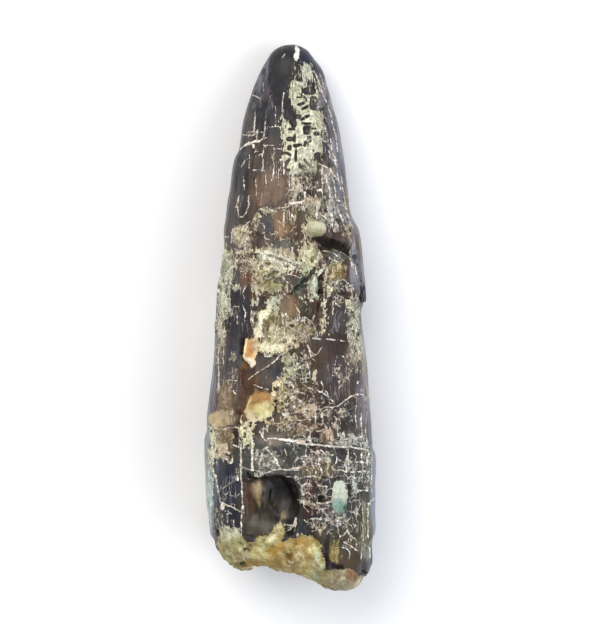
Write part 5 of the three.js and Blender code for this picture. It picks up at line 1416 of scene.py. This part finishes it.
# %% Bump, and the shader
BUMP_HEIGHT, BUMP_STRENGTH = 0.25, 0.8  # mm, and a share
FOSSIL_IOR = 1.55
GLOSS = 0.25  # of the usual share of reflected light, because the surface is finely worn
no_stone = node("Math", (1.0, sandstone_mask), operation="SUBTRACT")
scratches = node("Math", (noises["streaks"], no_stone), operation="MULTIPLY")
sand_height, grain_height = (
    node("Math", (noises[name], sandstone_mask), operation="MULTIPLY") for name in ("sand", "grains")
)
height = node("Math", (sandstone_mask, 0.5), operation="MULTIPLY")
for value, share in (
    (noises["fine"], 0.08),
    (sand_height, 0.5),
    (scratches, 0.25),
    (calcite_mask, 0.25),
    (dust_share, 0.3),
    (grain_height, 0.5),
):
    height = node("Math", (value, share, height), operation="MULTIPLY_ADD")
bump = node("Bump", {"Height": height, "Distance": BUMP_HEIGHT * MM, "Strength": BUMP_STRENGTH})
looks = {"Base Color": colour, "Roughness": roughness, "Normal": bump}
shader = node("BsdfPrincipled", {**looks, "IOR": FOSSIL_IOR, "Specular IOR Level": GLOSS})
node("OutputMaterial", (shader,))
print("nodes in the material:", len(tree.nodes))

# %% Put the material on the tooth
tooth.data.materials.clear()
tooth.data.materials.append(material)
deselect_all()
tooth.select_set(True)
bpy.context.view_layer.objects.active = tooth
bpy.ops.object.shade_smooth()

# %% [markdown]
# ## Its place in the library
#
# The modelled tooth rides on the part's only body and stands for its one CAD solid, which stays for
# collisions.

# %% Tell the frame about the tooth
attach(tooth, "root")
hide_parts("tooth")

# %% [markdown]
# ## Studio
#
# The tooth lies on a plain, nearly white table, under a large soft light from the upper left and a weaker,
# cooler one from the right. The camera looks straight down on it through a long lens, as for a catalogue.

# %% Floor
FLOOR_WHITE = "#fefefd"
deselect_all()
bpy.ops.mesh.primitive_plane_add(size=4)
floor = bpy.context.object
floor.name = "floor"
floor_material = bpy.data.materials.new("white_card")
floor_material.use_nodes = True
card = floor_material.node_tree.nodes["Principled BSDF"]
card.inputs["Base Color"].default_value = linear(FLOOR_WHITE)
card.inputs["Roughness"].default_value = 0.9
card.inputs["Specular IOR Level"].default_value = 0.1
floor.data.materials.append(floor_material)

# %% Lights
# name: place in m, size in m, watts, colour
LIGHTS = {
    "key": ((-0.5, 0.7, 1.1), 1.2, 12.5, "#fffaf2"),
    "fill": ((0.95, -0.3, 0.75), 1.2, 9.5, "#eef3ff"),
}
WORLD_LIGHT, WORLD_COLOUR = 0.62, "#f3f6ff"

for name, (light_place, size, watts, hex_colour) in LIGHTS.items():
    light_data = bpy.data.lights.new(name, "AREA")
    light_data.size, light_data.energy, light_data.color = size, watts, linear(hex_colour)[:3]
    light = bpy.data.objects.new(name, light_data)
    light.location = light_place
    light.rotation_euler = (-Vector(light_place)).to_track_quat("-Z", "Y").to_euler()
    bpy.context.scene.collection.objects.link(light)

world = bpy.data.worlds.new("studio")
bpy.context.scene.world = world
world.use_nodes = True
background = world.node_tree.nodes["Background"]
background.inputs["Color"].default_value = linear(WORLD_COLOUR)
background.inputs["Strength"].default_value = WORLD_LIGHT
bpy.context.scene.view_settings.view_transform = "Standard"

# %% Camera
LENS, SENSOR = 400.0, 36.0  # mm
VIEW_LENGTH = 124.8  # mm, what the longer side of the frame takes in, at half the tooth's height
VIEW_MIDDLE = (2.0, 56.0, 14.0)  # mm: offset, station, height

camera_data = bpy.data.cameras.new("camera")
camera_data.lens, camera_data.sensor_width = LENS, SENSOR
camera = bpy.data.objects.new("camera", camera_data)
bpy.context.scene.collection.objects.link(camera)
bpy.context.scene.camera = camera
distance = VIEW_LENGTH * LENS / SENSOR
camera.location = Vector((VIEW_MIDDLE[0], low[1] + VIEW_MIDDLE[1], VIEW_MIDDLE[2] + distance)) * MM
print("camera is", round(distance), "mm above the tooth")
